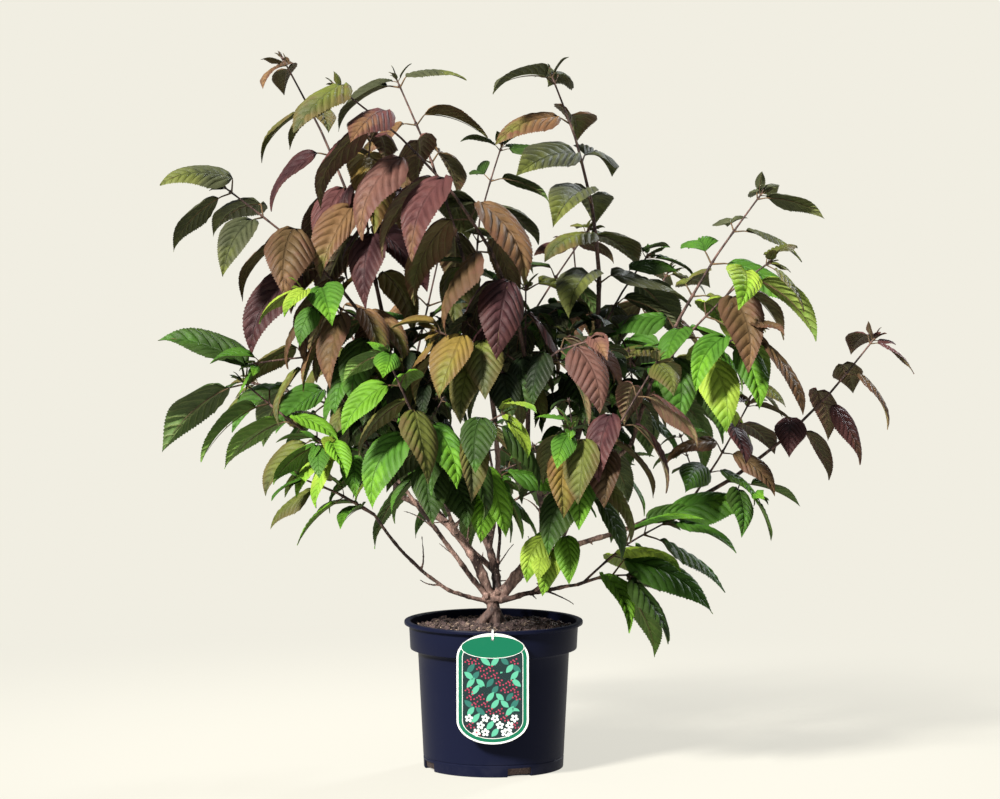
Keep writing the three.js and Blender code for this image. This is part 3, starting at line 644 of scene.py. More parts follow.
def tubes(paths, radii, across, sides):
    """Points and triangles of closed tubes along paths (tube, ring, axis). A ring has one radius or one for
    each corner. across stands roughly square to a path."""
    along = unit(np.gradient(paths, axis=1))
    side = unit(across - along * np.sum(across * along, axis=-1, keepdims=True))
    over = np.cross(along, side)
    turns = FULL_TURN * np.arange(sides) / sides
    radii = radii if radii.ndim == 3 else radii[..., None]
    spokes = side[:, :, None, :] * np.cos(turns)[:, None] + over[:, :, None, :] * np.sin(turns)[:, None]
    rings = paths[:, :, None, :] + spokes * radii[..., None]
    ends = np.stack([paths[:, 0], paths[:, -1]], axis=1)
    points = np.concatenate([rings.reshape(len(paths), -1, 3), ends], axis=1)
    return repeated(points, tube_faces(paths.shape[1], sides))


def tube(path, radii, across, sides):
    """Points and triangles of one closed tube."""
    return tubes(np.asarray(path)[None], np.asarray(radii)[None], np.asarray(across), sides)


# ---------------- leaves

# Measures of a blade beside its length.
BLADE = Values(
    half_width=0.272, widest=0.36, foot_curve=2.3, foot_fullness=0.6, tip_curve=1.6,
    tip_point=0.35,  # how far the tip is drawn out
    vein_run=0.4,  # how far a side vein runs forward on its way to the margin
    vein_crowding=1.12,  # how far the side veins crowd towards the tip
    vein_bend=1.15, tooth=0.0065, tooth_out=1.1, tooth_in=-0.7, tooth_ahead=0.6,
    toothed=0.1,  # the teeth grow smaller where the blade is narrower than this
    relief=0.03,  # how far the blade bulges between its veins
    relief_fullness=0.7,
    relief_across=(0.8, 0.14),  # the bulge rises over this share of the half blade, from this share on
    relieved=0.12,  # the bulges grow lower where the blade is narrower than this
    fold=(0.12, 0.66),  # angles of the half blades above level, in radians
    arch=1.6,  # how far the half blades bend down towards their margins
    arch_chance=(0.5, 1.5),
    swing=0.06,  # how far the midrib bends sideways
    wave=0.012,
    waves=9,  # radians of wave along the margin
    twist=0.26,  # how far blades turn about their midribs towards the tip, in radians
    most_twist=0.7, curl=0.4, curl_chance=(-0.2, 1), curl_from=0.55,  # the tips bend down
    thickness=0.5,  # in millimetres, at the midrib
    small=62,  # in millimetres: a shorter leaf takes the plainer grid
)
# Side veins of a half blade, rows from vein to vein, rows at the foot and columns from midrib to margin.
GRIDS = {
    "large": Values(veins=8, rows=5, fan=6, columns=3),
    "small": Values(veins=7, rows=2, fan=3, columns=2),
}


def outline(share):
    """Half width of a blade at shares of its length, for one unit of length."""
    share = np.clip(share, 0, 1)
    foot = np.clip((BLADE.widest - share) / BLADE.widest, 0, 1)
    ahead = np.clip((share - BLADE.widest) / (1 - BLADE.widest), 0, 1)
    body = (1 - foot ** BLADE.foot_curve) ** BLADE.foot_fullness * (1 - ahead ** BLADE.tip_curve)
    body *= 1 - BLADE.tip_point * ahead**4
    return BLADE.half_width * body


def grid_triangles(grid):
    """Two triangles for each cell of a grid of point numbers, cut alike in both half blades."""
    a, b = grid[:-1, :-1], grid[:-1, 1:]
    c, d = grid[1:, 1:], grid[1:, :-1]
    half = np.arange(a.shape[1]) < a.shape[1] // 2
    first = np.where(half, np.stack([a, b, d]), np.stack([a, b, c]))
    second = np.where(half, np.stack([b, c, d]), np.stack([a, c, d]))
    faces = np.concatenate([first.reshape(3, -1).T, second.reshape(3, -1).T])
    whole = (faces[:, 0] != faces[:, 1]) & (faces[:, 1] != faces[:, 2]) & (faces[:, 2] != faces[:, 0])
    return faces[whole]


def closed_grid(count, wide, fan):
    """Faces and point numbers of a thin body whose two sides share the foot, the tip and the margins."""
    middle = wide // 2
    upper = np.arange(count * wide).reshape(count, wide)
    foot = upper[fan, middle]
    upper[:fan, middle] = upper[0] = foot
    upper[-1] = upper[-1, middle]
    lower = upper + count * wide
    lower[:, 0] = upper[:, 0]
    lower[:, -1] = upper[:, -1]
    lower[: fan + 1, middle] = lower[0] = foot
    lower[-1] = upper[-1, middle]
    top, under = grid_triangles(upper), grid_triangles(lower)[:, ::-1]
    used, faces = np.unique(np.concatenate([top, under]), return_inverse=True)
    slots = np.repeat((0, 1), (len(top), len(under)))
    return faces.reshape(-1, 3), slots, used


def blade_grid(veins, rows, fan, columns):
    """The points of both half blades, on rows that follow the side veins, for one unit of length."""
    last = veins * rows
    count, wide = fan + last + 1, 2 * columns + 1
    spine = 1 - (1 - np.arange(last + 1) / last) ** BLADE.vein_crowding
    midrib = np.concatenate([np.zeros(fan), spine])
    reach = BLADE.vein_run * np.arange(fan) / fan
    margin = np.concatenate([reach, midrib[fan:] + BLADE.vein_run * (1 - midrib[fan:])])
    half_width = outline(margin)
    phase = (np.arange(count) - fan) / rows
    across = np.arange(-columns, columns + 1)
    share = np.abs(across) / columns
    teeth = np.where(np.arange(count) % 2 == fan % 2, BLADE.tooth_out, BLADE.tooth_in)
    teeth[0] = teeth[-1] = 0
    teeth = (teeth * np.minimum(1, half_width / BLADE.toothed))[:, None]
    teeth = np.where(share == 1, BLADE.tooth * teeth, 0)
    u = midrib[:, None] + (margin - midrib)[:, None] * share**BLADE.vein_bend
    bulge = np.sin(pi * (phase % 1)) ** BLADE.relief_fullness
    rise, start = BLADE.relief_across
    relief = bulge[:, None] * np.sin(pi * np.minimum(share * rise + start, 1)) * (share > 0)
    points = {
        "u": np.minimum(u + BLADE.tooth_ahead * teeth, 1),
        "y": np.sign(across) * share * (half_width[:, None] + teeth),
        "relief": relief * np.minimum(1, half_width / BLADE.relieved)[:, None],
        "share": share,
        "phase": phase[:, None],
        "is_margin": (np.arange(count) % (count - 1) == 0)[:, None] | (share == 1),
    }
    faces, slots, used = closed_grid(count, wide, fan)
    of, is_under = used % (count * wide), used >= count * wide
    grid = {name: np.broadcast_to(value, (count, wide)).ravel()[of] for name, value in points.items()}
    grid["is_margin"] &= ~is_under
    return Values(grid, faces=faces, slots=slots, is_under=is_under)


def leaf_array(leaves, key):
    """One value of all leaves, with room for a second index that counts points."""
    rows = [leaf[key][:] if isinstance(leaf[key], Vector) else leaf[key] for leaf in leaves]
    return np.array(rows, float)[:, None]


def turned(first, second, angle):
    """Two directions, turned by an angle from the first towards the second."""
    cosine, sine = np.cos(angle)[..., None], np.sin(angle)[..., None]
    return first * cosine + second * sine, second * cosine - first * sine


def blade_frames(leaves, u):
    """Centre line, direction, upper side and crosswise direction at shares u (leaf, point) of the blades."""
    base, heading, length, pitch, droop, roll = (
        leaf_array(leaves, key) for key in ("base", "heading", "length", "pitch", "droop", "roll")
    )
    up = np.array(UP[:])
    angle = pitch + droop * u
    ahead = (length * (np.sin(angle) - np.sin(pitch)) / droop)[..., None]
    rise = (length * (np.cos(pitch) - np.cos(angle)) / droop)[..., None]
    along, over = turned(heading, up, angle)
    over, _ = turned(over, np.cross(along, over), roll)
    return base + heading * ahead + up * rise, along, over, np.cross(along, over)


def blades(leaves, grid, seed):
    """Points (leaf, point, axis) in millimetres of the blades, folded, arched, twisted and rippled."""
    draws = np.random.default_rng(seed)
    one_each = (len(leaves), 1)
    u, y, share = grid.u, grid.y, grid.share
    length = leaf_array(leaves, "length")
    fold = draws.uniform(*BLADE.fold, one_each)
    arch = draws.uniform(*BLADE.arch_chance, one_each)
    swing = draws.uniform(-BLADE.swing, BLADE.swing, one_each)
    ripple = draws.uniform(0, FULL_TURN, (len(leaves), 2))
    twist = draws.normal(0, BLADE.twist, one_each)
    twist = np.clip(twist, -BLADE.most_twist, BLADE.most_twist) * u
    curl = draws.uniform(*BLADE.curl_chance, one_each) * BLADE.curl
    centre, _, over, across = blade_frames(leaves, np.broadcast_to(u, (len(leaves), len(u))))
    over, across = turned(over, across, twist)
    wave = np.where(y > 0, *(np.sin(BLADE.waves * u + ripple[:, k : k + 1]) for k in (0, 1)))
    height = np.abs(y) * np.sin(fold) - arch * y * y * BLADE.arch + BLADE.wave * wave * share**2
    height = height + BLADE.relief * grid.relief - curl * np.maximum(0, u - BLADE.curl_from) ** 2
    sideways = y * np.cos(fold) + swing * np.sin(pi * u) * (1 - share)
    under = grid.is_under * BLADE.thickness * (1 - share**2)
    return centre + across * (sideways * length)[..., None] + over * (height * length - under)[..., None]


def leaf_piece(name, leaves, seed):
    """All blades of one tint as one piece, each a closed thin body with an upper and a lower face."""
    parts, slots, places, margins = [], [], [], []
    for size, settings in GRIDS.items():
        grid = blade_grid(**settings)
        chosen = [leaf for leaf in leaves if (leaf.length < BLADE.small) == (size == "small")]
        if not chosen:
            continue
        parts.append(repeated(blades(chosen, grid, seed), grid.faces))
        slots.append(np.tile(grid.slots, len(chosen)))
        places.append(np.tile(np.stack([grid.phase, grid.share], axis=1), (len(chosen), 1)))
        margins.append(np.tile(grid.is_margin, len(chosen)))
    points, faces = joined(parts)
    piece = mesh_object(name, points, faces, np.concatenate(slots))
    corners = np.concatenate(places)[faces.ravel()].astype(np.float32)
    piece.data.uv_layers.new(name="veins").data.foreach_set("uv", corners.ravel())
    ends = np.empty(2 * len(piece.data.edges), np.int32)
    piece.data.edges.foreach_get("vertices", ends)
    sharp = np.concatenate(margins)[ends.reshape(-1, 2)].all(axis=1)
    piece.data.attributes.new("sharp_edge", "BOOLEAN", "EDGE").data.foreach_set("value", sharp)
    return piece


# A leaf stalk goes on as the rib under its blade. The widths and the radius are for a leaf of full size.
STALK = Values(
    rings=5, rib_rings=8, sides=5, radius=0.95, bend=0.6, widths=(1.25, 0.9),
    rib_end=0.86, rib_widths=(0.9, 0.22), rib_drop=0.1, full_size=90, scales=(0.6, 1.15),
)


def stalk_piece(name, leaves):
    """The stalks of all leaves as one piece."""
    root, base = leaf_array(leaves, "root")[:, 0], leaf_array(leaves, "base")[:, 0]
    reach = np.linalg.norm(base - root, axis=1, keepdims=True)
    bend = root + leaf_array(leaves, "out")[:, 0] * reach * STALK.bend
    shares = np.linspace(0, 1, STALK.rings)[:-1]
    stalk = [(1 - t) ** 2 * root + 2 * t * (1 - t) * bend + t * t * base for t in shares]
    u = np.linspace(0, STALK.rib_end, STALK.rib_rings)
    centre, _, over, _ = blade_frames(leaves, np.broadcast_to(u, (len(leaves), len(u))))
    rib = centre - over * (BLADE.thickness + STALK.rib_drop)
    paths = np.concatenate([np.stack(stalk, axis=1), rib], axis=1)
    across = np.cross(leaf_array(leaves, "heading")[:, 0], np.array(UP[:]))[:, None, :]
    thick = STALK.radius * np.clip(leaf_array(leaves, "length") / STALK.full_size, *STALK.scales)
    widths = np.linspace(*STALK.widths, STALK.rings)[:-1]
    rib_widths = np.linspace(*STALK.rib_widths, STALK.rib_rings)
    points, faces = tubes(paths, thick * np.concatenate([widths, rib_widths]), across, STALK.sides)
    return mesh_object(name, points, faces)


# ---------------- twigs and bark

TWIGS = Values(
    ring_step=7, least_rings=6, sides=7, bend=0.35, slim=0.82,
    tip=0.85, fine_tip=0.6,  # beside the tip of the solid twig
    node_swell=0.3, node_reach=3.2,
)


def points_along(place, shares):
    """The points that place gives at some shares of a curve."""
    return np.array([place(share)[:] for share in shares])


def hump(away):
    """A rounded hump: one in its middle and nothing far away."""
    return np.exp(-away * away)


def twig_tube(stem):
    """A shoot as a round tube that swells where its leaves stand."""
    length = stem.curve.length()
    shares = np.linspace(0, 1, max(TWIGS.least_rings, int(length / TWIGS.ring_step)))
    straight = points_along(stem.curve.axis_point, shares)
    path = mix(straight, points_along(stem.curve.point, shares), TWIGS.bend)
    tip = TWIG.tip_radius * (TWIGS.fine_tip if stem.fine else TWIGS.tip)
    foot = stem.radius * (1 if stem.radius > TWIG.side_radius else TWIGS.slim)
    radii = mix(foot, tip, shares)
    for node in stem.node_shares():
        away = (shares - node) * length / TWIGS.node_reach
        radii = radii * (1 + TWIGS.node_swell * hump(away))
    return tube(path, radii, stem.curve.across(), TWIGS.sides)


# A bud's profile gives its width at shares of its length.
BUD = Values(
    sides=5, profile=((0, 0.5), (0.25, 1), (0.6, 0.8), (1, 0.12)), length=5.5, radius=1.25,
    lift=0.5, stand_off=1.2, size=0.62,
    end_lift=0.3, end_size=1.3, fine_end_size=0.9,
)


def bud_tube(foot, way, size):
    shares, widths = np.array(BUD.profile).T
    path = np.array(foot[:]) + np.outer(shares * BUD.length * size, np.array(way[:]))
    return tube(path, widths * BUD.radius * size, way.orthogonal()[:], BUD.sides)


def bud_tubes(stem):
    """A pair of side buds at each leaf pair and two larger ones at the shoot's tip."""
    parts = []
    twist = radians(stem.shoot.twist)
    for i, share in enumerate(stem.node_shares()):
        turn = radians(stem.shoot.twist + i * stem.shoot.turn)
        for half in (0, pi):
            way = leaving(stem.curve.tangent(share), BUD.lift, turn + half)
            parts.append(bud_tube(stem.curve.axis_point(share) + way * BUD.stand_off, way, BUD.size))
    along = stem.curve.tangent(1)
    for half in (0, pi):
        way = leaving(along, BUD.end_lift, twist + half)
        size = BUD.fine_end_size if stem.fine else BUD.end_size
        parts.append(bud_tube(stem.curve.point(1) - along, way, size))
    return parts


BARK = Values(
    ring_step=2.6, least_rings=6, sides=18,
    slim=0.87,  # the limbs without their ridges and knots are this much thinner than the solids
    sway=1.6,  # how far a limb wanders off its curve
    sway_scale=0.03,
    sway_ends=5,  # a limb starts and ends on its curve, and sways from a fifth of its length on
    collar=0.28,  # how much a limb widens where it leaves its parent
    collar_reach=11,
    knot_step=31,  # a scar of an old leaf pair stands at each such length
    knot=0.2, knot_reach=3.4, knot_shift=4,
    knot_free=6,  # the length at the tip without a scar
    ridge=0.12,
    ridge_scale=(2.2, 0.055),  # across and along the limb
)


def bark_tube(curve, radii, seed, knots=False):
    """A limb with a collar at its foot, scars of old leaf pairs and lengthwise ridges."""
    length = curve.length()
    shares = np.linspace(0, 1, max(BARK.least_rings, int(length / BARK.ring_step)))
    path = points_along(curve.point, shares)
    seeds = [Vector((seed + shift,) * 3) for shift in (0, 9, 17)]
    sway = np.array([[noise.noise(Vector(p) * BARK.sway_scale + s) for s in seeds] for p in path])
    to_end = np.minimum(shares, 1 - shares)
    path = path + sway * np.minimum(1, to_end * BARK.sway_ends)[:, None] * BARK.sway
    along = shares * length
    size = mix(radii[0], radii[1], shares) * (1 + BARK.collar * np.exp(-along / BARK.collar_reach))
    if knots:
        for node in np.arange(BARK.knot_step, length - BARK.knot_free, BARK.knot_step):
            away = (along - node - BARK.knot_shift * sin(node + seed)) / BARK.knot_reach
            size = size * (1 + BARK.knot * hump(away))
    across, upward = BARK.ridge_scale
    start = Vector((seed, 0, 0))
    ridges = np.array([
        [noise.noise(Vector((x, y, rise * upward)) + start) for x, y in circle(across, BARK.sides)]
        for rise in along
    ])
    return tube(path, size[:, None] * (1 + BARK.ridge * ridges), curve.across(), BARK.sides)


# What stands at the fork: a knob, given by rises and radii, and stubs of shoots that were cut.
KNOB = ((-10, 3), (-7, 10), (-3, 12.8), (2, 12.6), (6, 9), (9, 4))
STUBS = (
    Values(turn=150, rise=0.5, length=18, radius=3.2),
    Values(turn=208, rise=0.2, length=17, radius=3.4),
    Values(turn=322, rise=0.35, length=17, radius=3.1),
    Values(turn=268, rise=0.6, length=15, radius=3.8),
    Values(turn=40, rise=0.4, length=17, radius=2.6),
)
# The roots bend down into the compost at their ends.
ROOT_END = Values(short=3, drop=5, sag=2, thinner=0.85)
# Short dead side shoots stand on each bough at these shares of its length.
SNAGS = Values(
    shares=(0.22, 0.4, 0.58, 0.76), least=9, most=58, radii=(1.3, 0.75), lift=0.8, bow=0.08,
    seeds=100, first_seed=11,
)
# Each kind of limb has its own first seed, and each limb its own step from there.
BARK_SEEDS = Values(trunk=3.1, root=5.3, stub=8.7, bough=11.3, bough_step=2.7, snag=31.1)


def trunk_tubes():
    foot, head = Vector(TRUNK.foot), Vector(TRUNK.head)
    trunk = Curve(foot - UP * TRUNK.sunk, head, TRUNK.bow)
    parts = [bark_tube(trunk, TRUNK.radii, BARK_SEEDS.trunk)]
    for i, root in enumerate(ROOTS):
        turn = radians(root.turn)
        reach = Vector((cos(turn), sin(turn), 0)) * (root.reach - ROOT_END.short)
        way = Curve(foot + UP * root.rise, foot + reach - UP * ROOT_END.drop, (0, 0, -ROOT_END.sag))
        radii = (root.radius, root.radius * ROOT_END.thinner)
        parts.append(bark_tube(way, radii, BARK_SEEDS.root + i))
    for i, stub in enumerate(STUBS):
        way = leaving(UP, acos(stub.rise), radians(stub.turn))
        curve = Curve(head, head + way * stub.length, (0, 0, 1))
        parts.append(bark_tube(curve, (stub.radius, stub.radius), BARK_SEEDS.stub + i))
    path = [(head.x, head.y, head.z + rise) for rise, _ in KNOB]
    parts.append(tube(path, [radius for _, radius in KNOB], (1.0, 0, 0), BARK.sides))
    return parts


def snag_tubes(curve, seed):
    """Short dead side shoots along a bough."""
    parts = []
    draws = Draws(int(seed * SNAGS.seeds) + SNAGS.first_seed)
    for share in SNAGS.shares:
        way = leaving(curve.tangent(share), SNAGS.lift, FULL_TURN * draws.share())
        foot = curve.point(share)
        length = mix(SNAGS.least, SNAGS.most, draws.share() ** 2)
        bow = Vector(draws.many(3)) * length * SNAGS.bow
        parts.append(bark_tube(Curve(foot, foot + way * length, bow), SNAGS.radii, seed))
    return parts


def limb_tubes():
    """Trunk, roots, boughs and dead side shoots."""
    parts = trunk_tubes()
    for i, (name, bough) in enumerate(BOUGHS.items()):
        radii = [radius * BARK.slim for radius in bough.radii]
        seed = BARK_SEEDS.bough + BARK_SEEDS.bough_step * i
        parts.append(bark_tube(BOUGH_CURVES[name], radii, seed, knots=True))
    for i, name in enumerate(BOUGHS):
        parts += snag_tubes(BOUGH_CURVES[name], BARK_SEEDS.snag + i)
    return parts


def fuse(piece, voxel):
    """Fuses the overlapping tubes of a piece into one skin."""
    remesh = piece.modifiers.new("fuse", "REMESH")
    remesh.mode = "VOXEL"
    remesh.voxel_size = voxel
    remesh.use_smooth_shade = True
    apply_modifiers(piece)


# The bark's own relief, as shares of its depth: flakes, drawn out upwards, and fine grains.
FLAKE = Values(across=0.5, up=0.16, high=1.6, sunk=0.45)
GRAIN = Values(scale=0.35, high=0.4)


def roughen(piece, depth):
    """Moves each point of the skin along its normal by a bark-like pattern."""
    mesh = piece.data
    points = np.empty(3 * len(mesh.vertices))
    normals = np.empty_like(points)
    mesh.vertices.foreach_get("co", points)
    mesh.vertex_normals.foreach_get("vector", normals)
    points = points.reshape(-1, 3)
    moves = []
    for x, y, z in points / MM:
        flake = noise.noise(Vector((x * FLAKE.across, y * FLAKE.across, z * FLAKE.up)))
        grain = noise.noise(Vector((x, y, z)) * GRAIN.scale)
        moves.append((abs(flake) * FLAKE.high - FLAKE.sunk + GRAIN.high * grain) * depth * MM)
    points += normals.reshape(-1, 3) * np.array(moves)[:, None]
    mesh.vertices.foreach_set("co", points.ravel())
    mesh.update()


# ---------------- pot and compost

POT = Values(
    height=186, lip_radius=112.5, lip_height=5, lip_round=1.5, band_top_radius=106.5,
    band_foot_radius=105, band_height=36, body_top_radius=95.5, foot_radius=88,
    wall=2.0, floor=2.5, sides=144, seam=13.5, body_rings=(40, 70, 100, 128),
    sharp=38,  # degrees: a harder edge than this looks sharp
)
BAND_FOOT = POT.height - POT.band_height
INNER_RADIUS = POT.band_foot_radius - POT.wall
DRAIN = Values(count=4, width=32, height=11, depth=9, first_turn=22)
SOIL = Values(
    edge=173, mound=180, mound_radius=62, flat_radius=42, slope=0.6, rings=60, sides=150,
    gap=0.4, rim=0.6, floor=0.5, steps=(5, 2.6),  # how it stands off the pot's wall, floor and band
    lumps=((2.4, 0.05), (2.0, 0.13), (1.4, 0.33)),  # heights and scales of its lumps
)


def radius_on_body(height):
    """Radius of the pot's tapering body at a height."""
    return mix(POT.foot_radius, POT.body_top_radius, height / (BAND_FOOT - POT.wall))


def moulding(radius, height, *steps):
    """Profile points that stand off a corner by steps, out and up."""
    return [(radius + out, height + up) for out, up in steps]


def pot_profile():
    """The pot's wall from the middle of its underside, up outside and down inside."""
    foot, wall, seam = POT.foot_radius, POT.wall, POT.seam
    lip_foot, lip_round = POT.height - POT.lip_height, POT.lip_round
    underside = moulding(0, 0, (0, 1.2), (40, 1.2), (41, 0.6))
    standing_ring = moulding(foot, 0, (-9, 0.6), (-8, 0), (-1.2, 0), (-0.3, 0.4), (0, 1.4))
    groove = moulding(radius_on_body(seam), seam, (-0.1, 0), (-0.75, 0.7), (-0.75, 1.7), (-0.05, 2.4))
    body = [(radius_on_body(z) - 0.25, z) for z in (*POT.body_rings, BAND_FOOT - 4)]
    shoulder = moulding(POT.body_top_radius, BAND_FOOT, (0.6, -1.8), (2.4, -0.8))
    band = moulding(POT.band_foot_radius, BAND_FOOT, (-2, 0), (-0.5, 0.5), (0, 1.8), (0.9, 20))
    neck = moulding(POT.band_top_radius, lip_foot, (0, -1.6), (1, -0.6))
    lip = moulding(POT.lip_radius, lip_foot, (-lip_round, 0), (-0.3, 0.6), (0, lip_round))
    lip += moulding(POT.lip_radius, POT.height, (0, -lip_round), (-0.5, -0.4), (-lip_round, 0))
    mouth = moulding(POT.band_top_radius - wall, POT.height, (1.2, -0.3), (0, -1.6))
    inner_band = moulding(INNER_RADIUS, BAND_FOOT, (0, 6), (-1, 4))
    inner_body = [(POT.body_top_radius - wall, BAND_FOOT + 2), (foot - wall, POT.floor)]
    outside = underside + standing_ring + groove + body + shoulder + band + neck + lip
    return outside + mouth + inner_band + inner_body + [(0, POT.floor)]


def lathe_piece(name, profile, sides):
    """A closed body turned about the upright through the origin. The profile starts and ends on it."""
    shape = bmesh.new()
    rings = []
    for radius, height in profile:
        if radius == 0:
            rings.append([shape.verts.new((0, 0, height * MM))] * sides)
        else:
            rings.append([shape.verts.new((x, y, height * MM)) for x, y in circle(radius * MM, sides)])
    for low, high in zip(rings, rings[1:]):
        for k in range(sides):
            corners = [low[k], low[(k + 1) % sides], high[(k + 1) % sides], high[k]]
            shape.faces.new(list(dict.fromkeys(corners)))
    bmesh.ops.recalc_face_normals(shape, faces=shape.faces)
    mesh = bpy.data.meshes.new(name)
    shape.to_mesh(mesh)
    shape.free()
    return linked(name, mesh)


def soften(piece):
    """Smooth faces with sharp edges where the surface turns hard."""
    piece.data.polygons.foreach_set("use_smooth", [True] * len(piece.data.polygons))
    piece.data.set_sharp_from_angle(angle=radians(POT.sharp))


def pot_piece():
    """The pot, with its drainage slots cut through the foot of its wall."""
    pot = lathe_piece("nursery_pot", pot_profile(), POT.sides)
    cutters = []
    for i in range(DRAIN.count):
        turn = radians(DRAIN.first_turn + 360 * i / DRAIN.count)
        bpy.ops.mesh.primitive_cube_add(size=1)
        slot = bpy.context.object
        slot.data.transform(
            Matrix.Rotation(turn, 4, "Z")
            @ Matrix.Translation((0, -POT.foot_radius * MM, 0))
            @ Matrix.Diagonal((DRAIN.width * MM, 2 * DRAIN.depth * MM, 2 * DRAIN.height * MM, 1))
        )
        cut = pot.modifiers.new("drain", "BOOLEAN")
        cut.object = slot
        cut.operation = "DIFFERENCE"
        cut.solver = "EXACT"
        cutters.append(slot)
    apply_modifiers(pot)
    for slot in cutters:
        bpy.data.objects.remove(slot)
    soften(pot)
    return pot


def soil_height(x, y):
    """Height of the compost's crumbly surface."""
    radius = hypot(x, y)
    shoulder = mix(SOIL.edge, SOIL.mound, SOIL.slope)
    if radius < SOIL.flat_radius:
        height = SOIL.mound
    elif radius < SOIL.mound_radius:
        share = (radius - SOIL.flat_radius) / (SOIL.mound_radius - SOIL.flat_radius)
        height = mix(SOIL.mound, shoulder, share)
    else:
        share = (radius - SOIL.mound_radius) / (INNER_RADIUS - SOIL.mound_radius)
        height = mix(shoulder, SOIL.edge, share)
    return height + sum(high * noise.noise(Vector((x, y, 0)) * scale) for high, scale in SOIL.lumps)


def soil_piece():
    """The compost: a crumbly top on a plain body that fills the pot."""
    gap = POT.wall + SOIL.gap
    edge = POT.band_foot_radius - gap + SOIL.rim
    floor = POT.floor + SOIL.floor
    rings = []
    for i in range(SOIL.rings):
        ring = circle(edge * (i + 1) / SOIL.rings, SOIL.sides)
        rings.append([(x, y, soil_height(x, y)) for x, y in ring])
    radii = (POT.band_foot_radius, POT.body_top_radius, POT.foot_radius)
    heights = (BAND_FOOT + SOIL.steps[0], BAND_FOOT + SOIL.steps[1], floor)
    for radius, height in zip(radii, heights):
        rings.append([(x, y, height) for x, y in circle(radius - gap, SOIL.sides)])
    points = [point for ring in rings for point in ring] + [(0, 0, soil_height(0, 0)), (0, 0, floor)]
    return mesh_object("compost", np.array(points), tube_faces(len(rings), SOIL.sides)[:, ::-1])


# Crumbs lie any way and chips lie flat. The heights are beside a crumb's or a chip's length.
CRUMB = Values(
    least=1.1, most=5.6, narrow=0.6, uneven=(0.6, 1.1), most_spin=3.1, most_turn=6.3,
    rise=0.5, from_wall=5, crumb_height=0.75, chip_height=0.22,
)
# A straw's widths go from end to end. It bends and lies on the compost, partly sunk.
FIBRE = Values(
    least=7, most=32, radius=0.6, thickness=(0.5, 1.5), widths=(0.6, 1, 1.1, 1, 0.9, 0.4),
    bend=0.9, rise=(0.7, 1.1), least_rise=0.5, sides=4, from_wall=9, room=2,
)


def scattered(draws, reach):
    """A place on the compost, clear of the trunk."""
    while True:
        radius = reach * sqrt(draws.random())
        turn = draws.uniform(0, FULL_TURN)
        x, y = radius * cos(turn), radius * sin(turn)
        if hypot(x - TRUNK.foot[0], y - TRUNK.foot[1]) > TRUNK.radii[0] + 1:
            return x, y


def crumb_piece(name, seed, count, high, flat=False):
    """Chips of bark or crumbs of peat: small uneven eight-cornered blocks."""
    draws = np.random.default_rng(seed)
    block = np.array([(x, y, z) for x in (-1, 1) for y in (-1, 1) for z in (-1, 1)], float)
    quads = ((0, 1, 3, 2), (4, 6, 7, 5), (0, 4, 5, 1), (2, 3, 7, 6), (0, 2, 6, 4), (1, 5, 7, 3))
    template = np.array([t for a, b, c, d in quads for t in ((a, b, c), (a, c, d))])
    parts = []
    for _ in range(count):
        x, y = scattered(draws, INNER_RADIUS - CRUMB.from_wall)
        length = CRUMB.least * (CRUMB.most / CRUMB.least) ** draws.random()
        corners = block * (length * np.array((1, CRUMB.narrow, high)))
        corners = corners * draws.uniform(*CRUMB.uneven, (8, 3))
        spin = Quaternion(draws.normal(size=3), draws.uniform(0, CRUMB.most_spin)).to_matrix()
        lie = Matrix.Rotation(draws.uniform(0, CRUMB.most_turn), 3, "Z") if flat else spin
        place = np.array((x, y, soil_height(x, y) + CRUMB.rise))
        parts.append((corners @ np.array(lie).T + place, template))
    points, faces = joined(parts)
    return mesh_object(name, points, faces, smooth=False)


def fibre_piece(name, seed, count):
    """Thin bent straws and roots that lie on the compost."""
    draws = np.random.default_rng(seed)
    limit = INNER_RADIUS - FIBRE.room
    parts = []
    for _ in range(count):
        x, y = scattered(draws, INNER_RADIUS - FIBRE.from_wall)
        length = draws.uniform(FIBRE.least, FIBRE.most)
        turn = draws.uniform(0, FULL_TURN)
        bend = draws.normal(0, FIBRE.bend)
        path = []
        for step in np.linspace(-0.5, 0.5, len(FIBRE.widths)):
            way = turn + bend * step
            px, py = x + length * step * cos(way), y + length * step * sin(way)
            radius = hypot(px, py)
            if radius > limit:
                px, py = px * limit / radius, py * limit / radius
            rise = max(0, draws.normal(*FIBRE.rise)) + FIBRE.least_rise
            path.append((px, py, soil_height(px, py) + rise))
        radii = FIBRE.radius * draws.uniform(*FIBRE.thickness) * np.array(FIBRE.widths)
        parts.append(tube(path, radii, (0, 0, 1.0), FIBRE.sides))
    points, faces = joined(parts)
    return mesh_object(name, points, faces)


# ---------------- label

LABEL = Values(
    width=89, height=139, thickness=1.2, end_rise=30, top=184.5, middle=-1, tilt=2,
    hole_radius=2.2, hole_drop=7, border=2.4, frame=7.6, line=0.8,
    field_middle=-17.2, field_rise=13.4, field_inset=6.2,
    print=0.08,  # each layer of print stands this much higher than the one before
    print_sunk=0.02,
)
LABEL_FOOT = LABEL.end_rise - LABEL.height  # where the lower end starts to round


def label_matrix():
    """The label's own frame has x to the right, y up from its top edge and z towards its front."""
    back = Matrix.Translation((LABEL.middle * MM, -(POT.lip_radius + 2 * GAP) * MM, LABEL.top * MM))
    return back @ Matrix.Rotation(radians(90 + LABEL.tilt), 4, "X")


